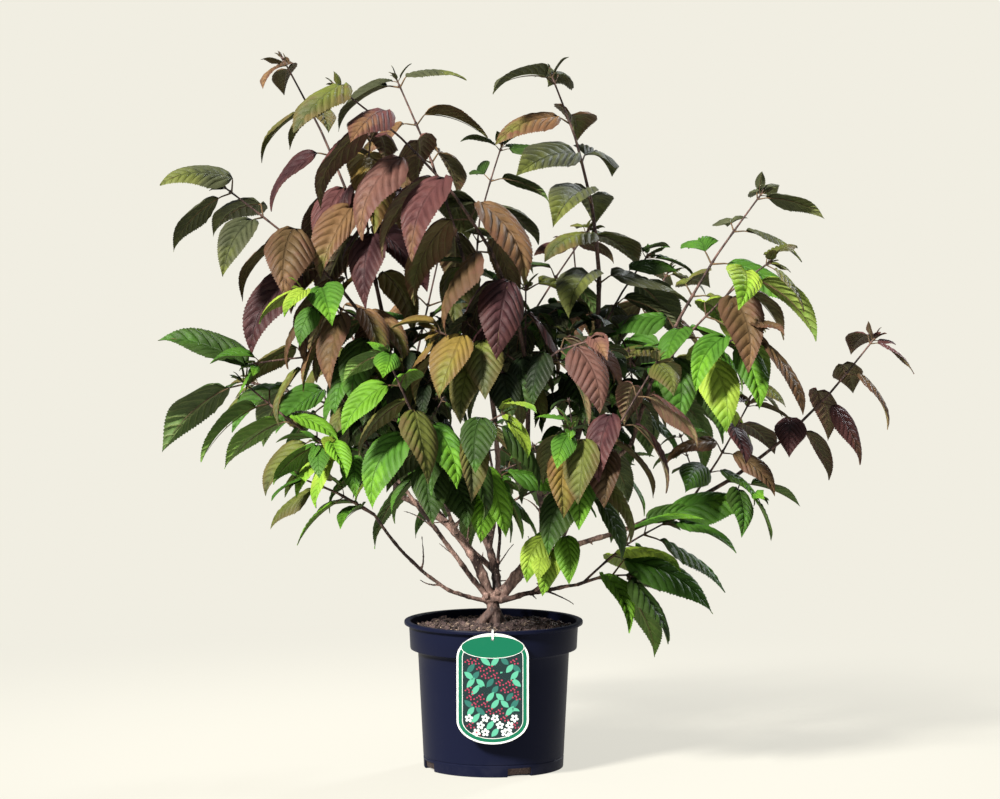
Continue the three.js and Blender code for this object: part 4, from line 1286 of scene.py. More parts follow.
def stadium(inset, count=28):
    """The label's outline moved in by inset: two half ellipses joined by straight sides."""
    half, rise = LABEL.width / 2 - inset, LABEL.end_rise - inset
    turns = [pi * k / count for k in range(count + 1)]
    top = [(half * cos(t), -LABEL.end_rise + rise * sin(t)) for t in turns]
    low = [(-half * cos(t), LABEL_FOOT - rise * sin(t)) for t in turns]
    return top + low


def placed(outline, x, y, tilt):
    """An outline turned by tilt and moved to a place."""
    return [
        (x + a * cos(tilt) - b * sin(tilt), y + a * sin(tilt) + b * cos(tilt))
        for a, b in outline
    ]


def ellipse(x, y, wide, high, count=20, tilt=0.0):
    return placed([(wide * a, high * b) for a, b in circle(1, count)], x, y, tilt)


def lens(x, y, wide, high, tilt, count=9):
    """A pointed leaf outline."""
    shares = np.linspace(-1, 1, count)
    upper = [(wide * s, high * (1 - s * s)) for s in shares]
    lower = [(wide * s, -high * (1 - s * s)) for s in shares[-2:0:-1]]
    return placed(upper + lower, x, y, tilt)


def round_shape(x, y, out, turn, wide, high, tilt=0.0):
    """A small ellipse that lies out from a place, towards turn."""
    return ellipse(x + out * cos(turn), y + out * sin(turn), wide, high, PATTERN.round_corners, tilt)


# The printed pattern: leaves on a leaning lattice, clusters of berries, and blossoms in the lowest rows.
PATTERN = Values(
    seed=41, columns=6, rows=11, top=-35, foot=-124, half_width=33, leans=(-0.7, 0.9),
    leaf=(7.6, 3.4), leaf_chance=(0.8, 1.1),
    berries=6, berry=1.05, berry_turn=2.4, berry_out=2.2,
    petals=5, petal=(2.09, 1.71), petal_out=3.135, blossom_rows=3, round_corners=12,
)
PRINT_LEVELS = {"shade": 4, "leaf": 5, "berry": 6, "blossom": 7}


def label_room(y):
    """Half width of the picture field at a height of the label."""
    half, rise = LABEL.width / 2 - LABEL.frame, LABEL.end_rise - LABEL.frame
    return half * sqrt(max(0, 1 - (max(0, LABEL_FOOT - y) / rise) ** 2))


def blossom(x, y, first):
    turns = [first + FULL_TURN * petal / PATTERN.petals for petal in range(PATTERN.petals)]
    return [round_shape(x, y, PATTERN.petal_out, turn, *PATTERN.petal, turn) for turn in turns]


def berries(x, y):
    """Berries on a spiral from the middle of their cluster."""
    return [
        round_shape(x, y, PATTERN.berry_out * sqrt(i), PATTERN.berry_turn * i, PATTERN.berry, PATTERN.berry)
        for i in range(PATTERN.berries)
    ]


def pattern_shapes():
    """Outlines of the printed pattern by ink."""
    draws = np.random.default_rng(PATTERN.seed)
    inks = {ink: [] for ink in PRINT_LEVELS}
    wide, high = PATTERN.leaf
    for row in range(PATTERN.rows):
        y = mix(PATTERN.top, PATTERN.foot, row / (PATTERN.rows - 1))
        room = label_room(y) - wide
        for column in range(PATTERN.columns):
            share = (column + 0.5 * (row % 2)) / (PATTERN.columns - 0.5)
            x = mix(-PATTERN.half_width, PATTERN.half_width, share)
            x = max(-room, min(room, x))
            kind = (2 * row + 3 * column) % 5
            if row >= PATTERN.rows - PATTERN.blossom_rows and kind < 3:
                inks["blossom"] += blossom(x, y, draws.uniform(0, 1))
            elif kind in (0, 3):
                inks["berry"] += berries(x, y)
            else:
                length = wide * draws.uniform(*PATTERN.leaf_chance)
                leaf = lens(x, y, length, high, PATTERN.leans[(row + column) % 2])
                inks["leaf" if kind in (1, 4) else "shade"].append(leaf)
    return inks


def printed(name, outlines, low, high):
    """Flat shapes with outlines in the label's frame, from the height low to high. An outline inside another
    one cuts a hole."""
    curve = bpy.data.curves.new(name, "CURVE")
    curve.dimensions = "2D"
    curve.fill_mode = "BOTH"
    for points in outlines:
        spline = curve.splines.new("POLY")
        spline.points.add(len(points) - 1)
        for point, (x, y) in zip(spline.points, points):
            point.co = (x * MM, y * MM, 0, 1)
        spline.use_cyclic_u = True
    curve.extrude = (high - low) / 2 * MM
    flat = linked(name, curve)
    mesh = evaluated(flat)
    bpy.data.objects.remove(flat)
    mesh.name = name
    mesh.transform(label_matrix() @ Matrix.Translation((0, 0, (high + low) / 2 * MM)))
    shape = bmesh.new()
    shape.from_mesh(mesh)
    bmesh.ops.remove_doubles(shape, verts=shape.verts, dist=1e-6)
    bmesh.ops.recalc_face_normals(shape, faces=shape.faces)
    shape.to_mesh(mesh)
    shape.free()
    return linked(name, mesh)


# ---------------- shader nodes


class Graph:
    """Adds nodes to a tree. An input takes a value or another node's output."""

    def __init__(self, tree):
        self.tree = tree
        tree.nodes.clear()

    def feed(self, socket, value):
        if isinstance(value, bpy.types.NodeSocket):
            self.tree.links.new(value, socket)
        elif socket.type == "RGBA":
            socket.default_value = (*value[:3], 1)
        else:
            socket.default_value = value

    def add(self, kind, inputs=None, **settings):
        node = self.tree.nodes.new("ShaderNode" + kind)
        for name, value in settings.items():
            setattr(node, name, value)
        for name, value in (inputs or {}).items():
            self.feed(node.inputs[name], value)
        return node

    def math(self, operation, first, second=0.5, clamp=False):
        return self.add("Math", {0: first, 1: second}, operation=operation, use_clamp=clamp).outputs[0]

    def plus(self, first, second, clamp=False):
        return self.math("ADD", first, second, clamp)

    def times(self, first, second, clamp=False):
        return self.math("MULTIPLY", first, second, clamp)

    def larger(self, first, second):
        return self.math("MAXIMUM", first, second)

    def scaled(self, value, factor, shift):
        inputs = {0: value, 1: factor, 2: shift}
        return self.add("Math", inputs, operation="MULTIPLY_ADD").outputs[0]

    def blend(self, share, first, second, mode="MIX"):
        node = self.add("Mix", {0: share, 6: first, 7: second}, data_type="RGBA", blend_type=mode)
        return node.outputs[2]

    def ramp(self, value, low, high, out_low=0.0, out_high=1.0):
        """A smooth step from out_low at low to out_high at high."""
        inputs = {"Value": value, "From Min": low, "From Max": high, "To Min": out_low, "To Max": out_high}
        return self.add("MapRange", inputs, interpolation_type="SMOOTHSTEP").outputs[0]

    def place(self, stretch=(1, 1, 1)):
        """The place on the object, in metres. A pattern is drawn out along an axis with a low factor."""
        spot = self.add("TexCoord").outputs["Object"]
        return self.add("VectorMath", {0: spot, 1: stretch}, operation="MULTIPLY").outputs[0]

    def split(self, vector):
        return self.add("SeparateXYZ", {0: vector}).outputs

    def geometry(self, name):
        return self.add("NewGeometry").outputs[name]

    def noise(self, spot, scale, detail=3.0, roughness=0.55):
        """A cloudy pattern. The scale is in repeats for each metre."""
        inputs = {"Vector": spot, "Scale": scale, "Detail": detail, "Roughness": roughness}
        return self.add("TexNoise", inputs).outputs["Fac"]

    def cells(self, spot, scale, feature="F1"):
        return self.add("TexVoronoi", {"Vector": spot, "Scale": scale}, feature=feature).outputs["Distance"]


GROUPS = {}


def new_group(name, inputs, outputs=("Color", "Height", "Roughness")):
    """Adds a group with named sockets. Gives its graph, its inputs and those of its output node."""
    tree = bpy.data.node_groups.new(name, "ShaderNodeTree")
    graph = Graph(tree)
    for socket, default in inputs.items():
        is_colour = isinstance(default, tuple)
        kind = "NodeSocketColor" if is_colour else "NodeSocketFloat"
        made = tree.interface.new_socket(socket, in_out="INPUT", socket_type=kind)
        made.default_value = (*default, 1) if is_colour else default
    for socket in outputs:
        kind = "NodeSocketColor" if socket == "Color" else "NodeSocketFloat"
        tree.interface.new_socket(socket, in_out="OUTPUT", socket_type=kind)
    GROUPS[name] = tree
    start = tree.nodes.new("NodeGroupInput")
    end = tree.nodes.new("NodeGroupOutput")
    return graph, start.outputs, end.inputs


DARK_FOOT_HEIGHTS = (0.196, 0.226)  # the bark is dark up to the first height and lightens up to the second, in metres
EVEN = (0.3, 0.7)  # between these values lies most of a noise


def leaf_surface_group():
    """Veins, blotches and leaf-to-leaf variation of a blade. The map counts side veins along the blade and
    goes from the midrib to the margin across it."""
    graph, given, wanted = new_group(
        "leaf surface",
        {
            "Tint": (0.1, 0.2, 0.03), "Vein Tint And Shade": (0.3, 0.35, 0.1), "Edge Tint": (0.2, 0.1, 0.05),
            "Tip Tint": (0.2, 0.25, 0.04), "Vein Share": 0.4, "Edge Share": 0.3, "Tip Share": 0.3,
            "Variation": 0.3, "Vein Rise": -1.0,
        },
    )
    along, across, _ = graph.split(graph.add("UVMap", uv_map="veins").outputs[0])
    spot = graph.place()
    blotch = graph.noise(spot, 42, 4)
    fleck = graph.noise(spot, 260, 3)
    island = graph.geometry("Random Per Island")
    winding = graph.scaled(blotch, 0.4, graph.math("SUBTRACT", along, 0.2))
    vein = graph.ramp(graph.math("PINGPONG", winding, 0.5), 0.02, 0.15, 1, 0)
    vein = graph.times(vein, graph.ramp(across, 0.7, 1, 1, 0.35))
    midrib = graph.ramp(across, 0.03, 0.09, 1, 0)
    veins = graph.larger(graph.times(vein, 0.75), midrib)
    net = graph.ramp(graph.cells(spot, 430, "DISTANCE_TO_EDGE"), 0.0, 0.14, 1, 0)
    graph.feed(wanted["Height"], graph.times(graph.scaled(net, 0.12, veins), given["Vein Rise"]))
    edge = graph.plus(graph.ramp(across, 0.35, 1.05), graph.ramp(blotch, 0.52, 0.7))
    edge = graph.times(edge, given["Edge Share"], clamp=True)
    ahead = graph.scaled(blotch, 8, graph.scaled(island, 6, along))
    tip = graph.times(graph.ramp(ahead, 10, 14), given["Tip Share"])
    colour = graph.blend(tip, given["Tint"], given["Tip Tint"])
    colour = graph.blend(edge, colour, given["Edge Tint"])
    light = graph.times(graph.scaled(island, 2, -1), given["Variation"])
    light = graph.plus(light, graph.ramp(blotch, *EVEN, 0.82, 1.16))
    light = graph.plus(light, graph.ramp(fleck, *EVEN, -0.07, 0.07))
    shade = graph.add("CombineXYZ", {0: light, 1: light, 2: light}).outputs[0]
    colour = graph.blend(1.0, colour, shade, "MULTIPLY")
    # The veins and the fine net take the vein colour: painted shade of the sunk veins on the upper side,
    # their own paler colour on the under side.
    share = graph.times(graph.larger(veins, graph.times(net, 0.4)), given["Vein Share"])
    graph.feed(wanted["Color"], graph.blend(share, colour, given["Vein Tint And Shade"]))
    graph.feed(wanted["Roughness"], graph.ramp(fleck, *EVEN, 0.48, 0.62))


def bark_grain_group():
    """Streaks, pale pores and fine cracks of bark, drawn out upwards, and a foot that is darker below a
    height.
    """
    graph, given, wanted = new_group(
        "bark grain",
        {
            "Dark": (0.05, 0.03, 0.02), "Light": (0.2, 0.14, 0.1), "Pore": (0.35, 0.28, 0.2), "Scale": 1.0,
            "Dark Foot": 0.0,
        },
    )
    scales = {
        name: graph.times(given["Scale"], scale)
        for name, scale in (("streak", 130), ("broad", 28), ("crack", 260), ("pore", 190))
    }
    spot = graph.place((1, 1, 0.35))
    streak = graph.noise(spot, scales["streak"], 5, 0.6)
    broad = graph.noise(spot, scales["broad"], 2)
    crack = graph.cells(spot, scales["crack"], "DISTANCE_TO_EDGE")
    pore = graph.ramp(graph.cells(graph.place((1, 1, 0.7)), scales["pore"]), 0.12, 0.24, 1, 0)
    patchy = graph.ramp(broad, 0.36, 0.66, -0.5, 0.35)
    tone = graph.plus(graph.ramp(streak, 0.35, 0.68, 0, 0.75), patchy, clamp=True)
    colour = graph.blend(tone, given["Dark"], given["Light"])
    colour = graph.blend(graph.times(pore, 0.55), colour, given["Pore"])
    colour = graph.blend(graph.ramp(crack, 0, 0.06, 0.5, 0), colour, given["Dark"])
    # Below the first height the bark takes its dark tone.
    dark_foot = graph.times(graph.ramp(graph.split(graph.place())[2], *DARK_FOOT_HEIGHTS, 1, 0), given["Dark Foot"])
    graph.feed(wanted["Color"], graph.blend(dark_foot, colour, given["Dark"]))
    height = graph.plus(streak, graph.times(pore, 0.3))
    graph.feed(wanted["Height"], graph.plus(height, graph.ramp(crack, 0, 0.1, 0, 0.4)))
    graph.feed(wanted["Roughness"], graph.ramp(streak, *EVEN, 0.62, 0.86))


def dust_group():
    """Dust on what faces up, splashed soil low down, and fine scuffs."""
    graph, given, wanted = new_group(
        "dust",
        {"Clean": (0.02, 0.02, 0.03), "Dust": (0.25, 0.2, 0.15), "Amount": 0.4, "Splash Height": 0.03},
    )
    spot = graph.place()
    facing = graph.split(graph.geometry("Normal"))[2]
    height = graph.split(spot)[2]
    patch = graph.noise(spot, 36, 6, 0.62)
    streaks = graph.noise(graph.place((1, 1, 0.12)), 210, 3)
    top = graph.times(graph.ramp(facing, 0.35, 0.95), graph.ramp(patch, 0.35, 0.62))
    low = graph.ramp(graph.math("DIVIDE", height, given["Splash Height"]), 0, 1, 0.8, 0)
    low = graph.times(low, graph.ramp(patch, 0.42, 0.66))
    haze = graph.times(graph.ramp(patch, 0.5, 0.75, 0, 0.22), graph.ramp(streaks, 0.4, 0.7))
    scuff = graph.noise(graph.place((1, 1, 2.4)), 160, 2, 0.4)
    scuff = graph.ramp(graph.math("ABSOLUTE", graph.math("SUBTRACT", scuff, 0.5)), 0, 0.006, 0.5, 0)
    scuff = graph.times(scuff, graph.ramp(graph.noise(spot, 19, 2), 0.52, 0.66))
    mask = graph.larger(graph.larger(graph.larger(top, low), haze), scuff)
    mask = graph.times(mask, given["Amount"], clamp=True)
    graph.feed(wanted["Color"], graph.blend(mask, given["Clean"], given["Dust"]))
    graph.feed(wanted["Height"], graph.math("SUBTRACT", graph.noise(spot, 700, 2), scuff))
    graph.feed(wanted["Roughness"], graph.scaled(mask, 0.45, 0.4))


def crumb_group():
    """Mixed browns, each crumb with its own."""
    graph, given, wanted = new_group(
        "crumbs",
        {
            "Dark": (0.01, 0.006, 0.004), "Light": (0.15, 0.08, 0.05), "Pale": (0.4, 0.3, 0.2),
            "Pale Share": 0.1,
        },
        ("Color", "Height"),
    )
    spot = graph.place()
    fine = graph.noise(spot, 420, 4, 0.65)
    broad = graph.noise(spot, 60, 3)
    own = graph.times(graph.geometry("Random Per Island"), 0.55)
    tone = graph.plus(graph.ramp(fine, 0.3, 0.75, -0.2, 0.5), own)
    tone = graph.plus(tone, graph.ramp(broad, *EVEN, -0.2, 0.2), clamp=True)
    colour = graph.blend(tone, given["Dark"], given["Light"])
    grain = graph.noise(graph.place((1, 1, 1.5)), 900, 2)
    pale = graph.math("GREATER_THAN", graph.plus(grain, given["Pale Share"]), 0.72)
    graph.feed(wanted["Color"], graph.blend(graph.times(pale, 0.6), colour, given["Pale"]))
    graph.feed(wanted["Height"], fine)


def build_groups():
    for build in (leaf_surface_group, bark_grain_group, dust_group, crumb_group):
        build()


def new_material(name, group, values, colour, roughness, bump, **plain):
    """A Principled material whose colour, roughness and relief come from a node group. colour and roughness
    are what it shows without the group, bump is the relief's depth in metres, and plain holds the shader's
    other values, with underscores for spaces."""
    if not GROUPS:
        build_groups()
    material = bpy.data.materials.new(name)
    material.use_nodes = True
    graph = Graph(material.node_tree)
    effect = graph.add("Group", node_tree=GROUPS[group])
    for socket, value in values.items():
        graph.feed(effect.inputs[socket], value)
    own = {socket.replace("_", " "): value for socket, value in plain.items()}
    shader = graph.add("BsdfPrincipled", {"Base Color": colour, "Roughness": roughness, **own})
    graph.feed(shader.inputs["Base Color"], effect.outputs["Color"])
    if "Roughness" in effect.outputs:
        graph.feed(shader.inputs["Roughness"], effect.outputs["Roughness"])
    relief = graph.add("Bump", {"Height": effect.outputs["Height"], "Distance": bump, "Strength": 1.0})
    graph.feed(shader.inputs["Normal"], relief.outputs[0])
    graph.add("OutputMaterial", {"Surface": shader.outputs[0]})
    return material


def dress(piece, slot, nodes, *materials):
    """Gives a piece its materials and body and hides the solids that it stands for. The slot is not used."""
    for material in materials:
        piece.data.materials.append(material)
    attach(piece, BODY)
    if nodes:
        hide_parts(*nodes)


# ---------------- settings

TINTS = {
    # The first tint is a near-black green: painted shade for the leaves inside the crown.
    "night": (0.011, 0.024, 0.006),
    "deep": (0.033, 0.076, 0.011),
    "green": (0.062, 0.178, 0.017),
    "bright": (0.135, 0.32, 0.02),
    # This lime green is partly the leaves' own colour and partly painted light: the glow of sun shining
    # through backlit leaves.
    "lime": (0.305, 0.445, 0.045),
    "olive": (0.138, 0.162, 0.03),
    "gold": (0.235, 0.165, 0.035),
    "bronze": (0.205, 0.115, 0.05),
    "brown": (0.12, 0.075, 0.032),
    "burgundy": (0.118, 0.044, 0.043),
    "purple": (0.056, 0.021, 0.024),
    "rose": (0.172, 0.083, 0.064),
    "dusky": (0.07, 0.08, 0.037),
}


def setting(kind, name, text, default, **more):
    """A setting that isn't below zero."""
    return kind(name=name, description=text, default=default, min=0, **more)


def colour_of(name, what, default):
    return setting(FloatVectorProperty, name, f"Colour of {what}", default, max=1, subtype="COLOR")


def share_of(name, text, default):
    return setting(FloatProperty, name, text, default, max=1, subtype="FACTOR")


def length_of(name, text, millimetres):
    return setting(FloatProperty, name, text, millimetres * MM, unit="LENGTH")


class LeafSettings(PropertyGroup):
    """Leaves"""

    vein_relief: length_of("Vein relief", "Depth of the fine relief along the veins", 0.75)
    # On the upper side this is how far the sunk veins take their painted shade.
    vein_share: share_of("Vein contrast", "How far the veins take their own colour", 0.5)
    variation: share_of("Variation", "How far leaves of one tint differ in lightness", 0.2)
    vein: colour_of("Veins", "the veins of a green leaf", (0.33, 0.36, 0.12))
    edge: colour_of("Edges", "the margins and blotches in autumn", (0.1, 0.036, 0.03))
    stalk: colour_of("Stalks", "the leaf stalks", (0.22, 0.13, 0.06))


for tint, colour in TINTS.items():
    LeafSettings.__annotations__[tint] = colour_of(tint.capitalize(), f"the {tint} leaves", colour)


class BarkSettings(PropertyGroup):
    """Bark and twigs"""

    relief: length_of("Relief", "Depth of the bark's ridges", 0.32)
    voxel: length_of("Fineness", "Size of the bark's facets", 1.05)
    dark: colour_of("Dark", "the bark's hollows", (0.032, 0.016, 0.013))
    light: colour_of("Light", "the bark's ridges", (0.55, 0.35, 0.29))
    pore: colour_of("Pores", "the small pores", (0.5, 0.4, 0.32))
    twig_dark: colour_of("Twig, dark", "the hollows of young twigs", (0.036, 0.018, 0.016))
    twig_light: colour_of("Twig, light", "the ridges of young twigs", (0.25, 0.14, 0.115))


class PotSettings(PropertyGroup):
    """Pot"""

    colour: colour_of("Plastic", "the moulded plastic", (0.006, 0.0078, 0.024))
    dust: colour_of("Dust", "dust and splashed compost", (0.09, 0.09, 0.13))
    dust_share: share_of("Dust amount", "How much dust lies on the pot", 0.12)


class CompostSettings(PropertyGroup):
    """Compost"""

    crumbs: setting(IntProperty, "Crumbs", "Number of crumbs and chips", 3000)
    fibres: setting(IntProperty, "Fibres", "Number of straws and fine roots", 1100)
    dark: colour_of("Dark", "moist peat", (0.008, 0.005, 0.0045))
    light: colour_of("Light", "dry peat and bark chips", (0.105, 0.067, 0.064))
    pale: colour_of("Fibre", "straws and fibres", (0.5, 0.38, 0.28))


class LabelSettings(PropertyGroup):
    """Label"""

    card: colour_of("Card", "the card and its border", (0.86, 0.88, 0.86))
    green: colour_of("Band", "the printed band and of the top field", (0.003, 0.15, 0.075))
    ground: colour_of("Ground", "the pattern's ground", (0.012, 0.03, 0.032))
    leaf: colour_of("Leaf", "the pattern's lighter leaves", (0.11, 0.46, 0.3))
    shade: colour_of("Leaf, dark", "the pattern's darker leaves", (0.03, 0.16, 0.13))
    berry: colour_of("Berry", "the pattern's berries", (0.42, 0.05, 0.1))
    blossom: colour_of("Blossom", "the pattern's blossoms", (0.84, 0.9, 0.88))


class StageSettings(PropertyGroup):
    """Stage"""

    backdrop: colour_of("Backdrop", "the floor and of what lies behind", (0.879, 0.855, 0.761))
    key: setting(FloatProperty, "Key light", "Strength of the main light", 7.0)
    fill: setting(FloatProperty, "Fill light", "Strength of the light from all round", 0.24)
    softness: setting(FloatProperty, "Softness", "Width of the main light", radians(9), subtype="ANGLE")


SETTINGS = {
    "leaves": LeafSettings, "bark": BarkSettings, "pot": PotSettings, "compost": CompostSettings,
    "label": LabelSettings, "stage": StageSettings,
}


class ViburnumSettings(PropertyGroup):
    """All settings of the shrub"""


for part, settings in SETTINGS.items():
    ViburnumSettings.__annotations__[part] = PointerProperty(
        type=settings, name=settings.__doc__, description=f"Sizes and colours: {settings.__doc__.lower()}"
    )


# ---------------- operators


class MakeBark(Operator):
    """Grow trunk, roots and boughs under one skin of bark"""

    bl_idname = "viburnum.bark"
    bl_label = "Bark"

    def execute(self, context):
        look = context.scene.viburnum.bark
        bark = mesh_object("bark", *joined(limb_tubes()))
        fuse(bark, look.voxel)
        roughen(bark, look.relief / MM)
        # The trunk turns to its dark tone towards its foot.
        tones = {"Dark": look.dark, "Light": look.light, "Pore": look.pore, "Scale": 1.0, "Dark Foot": 0.75}
        material = new_material("bark", "bark grain", tones, look.light, roughness=0.75, bump=0.0006)
        dress(bark, "bark", ["trunk", *(f"bough_{name}" for name in BOUGHS)], material)
        return {"FINISHED"}


class MakeTwigs(Operator):
    """Grow the twigs of each mass, with their buds"""

    bl_idname = "viburnum.twigs"
    bl_label = "Twigs"

    def execute(self, context):
        look = context.scene.viburnum.bark
        tones = {"Dark": look.twig_dark, "Light": look.twig_light, "Pore": look.pore, "Scale": 2.2}
        material = new_material(
            "twig bark", "bark grain", tones, look.twig_light, roughness=0.65, bump=0.0003
        )
        for name, growth in GROWTH.items():
            parts = []
            for stem in growth.stems:
                parts += [twig_tube(stem), *bud_tubes(stem)]
            piece = mesh_object(f"twigs_{name}", *joined(parts))
            dress(piece, "bark", [f"foliage_{name}"], material)
        return {"FINISHED"}


UNDER = Values(grey=Vector((0.2, 0.22, 0.13)), share=0.28, darker=0.8, vein=0.6, vein_share=0.55)
PAINTED_VEIN_SHADE = 0.45  # the sunk veins of the upper side are painted this much darker than the blade, as painted shade
EDGE = Values(blend=0.6, autumn=0.8, summer=0.1)  # how far margins turn, and how much of a blade they take
TIP_SHARE = 0.85
AUTUMN = ("olive", "gold", "bronze", "brown", "burgundy", "purple", "rose")
# The tint that a leaf turns to towards its tip.
TIPS = {
    "bronze": "olive", "brown": "bronze", "purple": "burgundy", "burgundy": "bronze", "rose": "bronze",
    "gold": "olive", "olive": "dusky", "dusky": "olive", "lime": "bright", "green": "bright",
    "deep": "green", "night": "deep",
}


def leaf_materials(tint, look):
    """The materials of the upper and the under sides of one tint's leaves."""

    def paler(colour):
        return colour.lerp(UNDER.grey, UNDER.share) * UNDER.darker

    colour = Vector(getattr(look, tint))
    tip = Vector(getattr(look, TIPS.get(tint, tint)))
    upper = {
        # The upper side's veins take painted shade.
        "Tint": colour, "Vein Tint And Shade": colour * PAINTED_VEIN_SHADE, "Vein Share": look.vein_share, "Vein Rise": -1.0,
        "Edge Tint": colour.lerp(Vector(look.edge), EDGE.blend),
        "Edge Share": EDGE.autumn if tint in AUTUMN else EDGE.summer,
        "Tip Tint": tip, "Tip Share": TIP_SHARE, "Variation": look.variation,
    }
    pale = paler(colour)
    under = {
        **upper, "Tint": pale, "Vein Tint And Shade": pale.lerp(Vector(look.vein), UNDER.vein),
        "Vein Share": UNDER.vein_share, "Vein Rise": 1.0, "Tip Tint": paler(tip),
    }
    sides = (("leaf", upper, 0.55, 0.26), ("leaf, under side", under, 0.6, 0.2))
    return [
        new_material(
            f"{tint} {side}", "leaf surface", values, values["Tint"], roughness, look.vein_relief,
            Specular_IOR_Level=gloss,
        )
        for side, values, roughness, gloss in sides
    ]


class MakeLeaves(Operator):
    """Hang the leaves, one piece for each tint, and their stalks"""

    bl_idname = "viburnum.leaves"
    bl_label = "Leaves"

    def execute(self, context):
        look = context.scene.viburnum.leaves
        for i, tint in enumerate(TINTS):
            found = {
                f"foliage_{name}": [leaf for leaf in growth.leaves if leaf.tint == tint]
                for name, growth in GROWTH.items()
            }
            piece = leaf_piece(f"leaves_{tint}", sum(found.values(), []), FINE_SEED + i)
            masses = [mass for mass, leaves in found.items() if leaves]
            dress(piece, "foliage", masses, *leaf_materials(tint, look))
        stalks = stalk_piece("leaf_stalks", [leaf for growth in GROWTH.values() for leaf in growth.leaves])
        tones = {"Dark": Vector(look.stalk) * 0.4, "Light": look.stalk, "Pore": look.vein, "Scale": 3.0}
        material = new_material("leaf stalk", "bark grain", tones, look.stalk, roughness=0.5, bump=0.0002)
        dress(stalks, "foliage", ALL_MASSES, material)
        return {"FINISHED"}


class MakePot(Operator):
    """Turn the nursery pot, with its lip, band and drainage slots"""

    bl_idname = "viburnum.pot"
    bl_label = "Pot"

    def execute(self, context):
        look = context.scene.viburnum.pot
        finish = {"Clean": look.colour, "Dust": look.dust, "Amount": look.dust_share, "Splash Height": 0.03}
        material = new_material(
            "moulded plastic", "dust", finish, look.colour, roughness=0.42, bump=0.00006,
            Specular_IOR_Level=0.07,
        )
        dress(pot_piece(), "pot_plastic", ["pot"], material)
        return {"FINISHED"}


def compost_material(name, colour, dark, light, pale, pale_share, roughness, bump):
    """Loose stuff in dark, light and pale tones."""
    tones = {"Dark": dark, "Light": light, "Pale": pale, "Pale Share": pale_share}
    return new_material(name, "crumbs", tones, colour, roughness, bump)


class MakeCompost(Operator):
    """Fill the pot with compost, crumbs, chips and fibres"""

    bl_idname = "viburnum.compost"
    bl_label = "Compost"

    def execute(self, context):
        look = context.scene.viburnum.compost
        peat = compost_material(
            "peat", look.light, look.dark, look.light, look.pale, pale_share=0.06, roughness=0.95, bump=0.0012
        )
        chip = compost_material(
            "bark chips", look.light, look.dark, Vector(look.light) * 1.25, look.pale,
            pale_share=0.05, roughness=0.85, bump=0.0005,
        )
        straw = compost_material(
            "straw", look.pale, look.light, look.pale, Vector(look.pale) * 1.3,
            pale_share=0.1, roughness=0.7, bump=0.0002,
        )
        dress(soil_piece(), "potting_soil", ["soil"], peat)
        crumbs = crumb_piece("crumbs", 17, look.crumbs * 2 // 3, CRUMB.crumb_height)
        dress(crumbs, "potting_soil", [], chip)
        chips = crumb_piece("bark_chips", 23, look.crumbs // 3, CRUMB.chip_height, flat=True)
        dress(chips, "potting_soil", [], chip)
        dress(fibre_piece("fibres", 29, look.fibres), "potting_soil", [], straw)
        return {"FINISHED"}


def card_material(name, colour, dust=0.03):
    """Smooth coated card or thin plastic."""
    finish = {"Clean": colour, "Dust": (0.4, 0.36, 0.3), "Amount": dust, "Splash Height": 0.001}
    return new_material(
        name, "dust", finish, colour, roughness=0.36, bump=0.00003,
        Specular_IOR_Level=0.2, Coat_Weight=0.12, Coat_Roughness=0.2,
    )


class MakeLabel(Operator):
    """Cut the hang label and print its frame, its bare top field and a plain pattern"""

    bl_idname = "viburnum.label"
    bl_label = "Label"

    def execute(self, context):
        look = context.scene.viburnum.label
        face, line = LABEL.thickness, LABEL.line
        hole = ellipse(0, -LABEL.hole_drop, LABEL.hole_radius, LABEL.hole_radius)
        card = printed("label_card", [stadium(0), hole], 0, face)
        soften(card)
        dress(card, "label_card", ["label"], card_material("label card", look.card))
        inks = pattern_shapes()
        middle, rise = LABEL.field_middle, LABEL.field_rise
        half = LABEL.width / 2 - LABEL.field_inset
        layers = (
            ("green", look.green, 1, [stadium(LABEL.border), hole]),
            ("card", look.card, 2, [stadium(LABEL.frame - line), hole]),
            ("ground", look.ground, 3, [stadium(LABEL.frame), hole]),
            *((ink, getattr(look, ink), level, inks[ink]) for ink, level in PRINT_LEVELS.items()),
            ("field_rim", look.card, 9, [ellipse(0, middle, half + line, rise + line, 48), hole]),
            ("field", look.green, 10, [ellipse(0, middle, half, rise, 48), hole]),
        )
        for name, colour, level, outlines in layers:
            top = face + LABEL.print * level
            piece = printed(f"print_{name}", outlines, face - LABEL.print_sunk, top)
            dress(piece, "label_card", [], card_material(f"{name} print".replace("_", " "), colour))
        tie = frame["nodes"]["label_tie"]
        tie.data.materials.clear()
        tie.data.materials.append(card_material("tie plastic", look.card, 0.2))
        return {"FINISHED"}


CAMERA = Values(place=(0.0081, -5.0, 0.862), down=4.55, lens=144, sensor=36)
FLOOR = Values(radius=14, near=0.3, far=1.3, own_light=0.72, albedo=0.25, bounce=0.75)
# The ways of the lights, their strengths beside the key light and their colours.
LIGHTS = {
    "key": Values(way=(0.62, 0.72, -0.68), strength=1, colour=(1, 0.965, 0.9)),
    "back": Values(way=(-0.5, -0.75, -0.55), strength=0.2, colour=(0.92, 0.96, 1)),
}
SKY = (0.93, 0.96, 1.0)


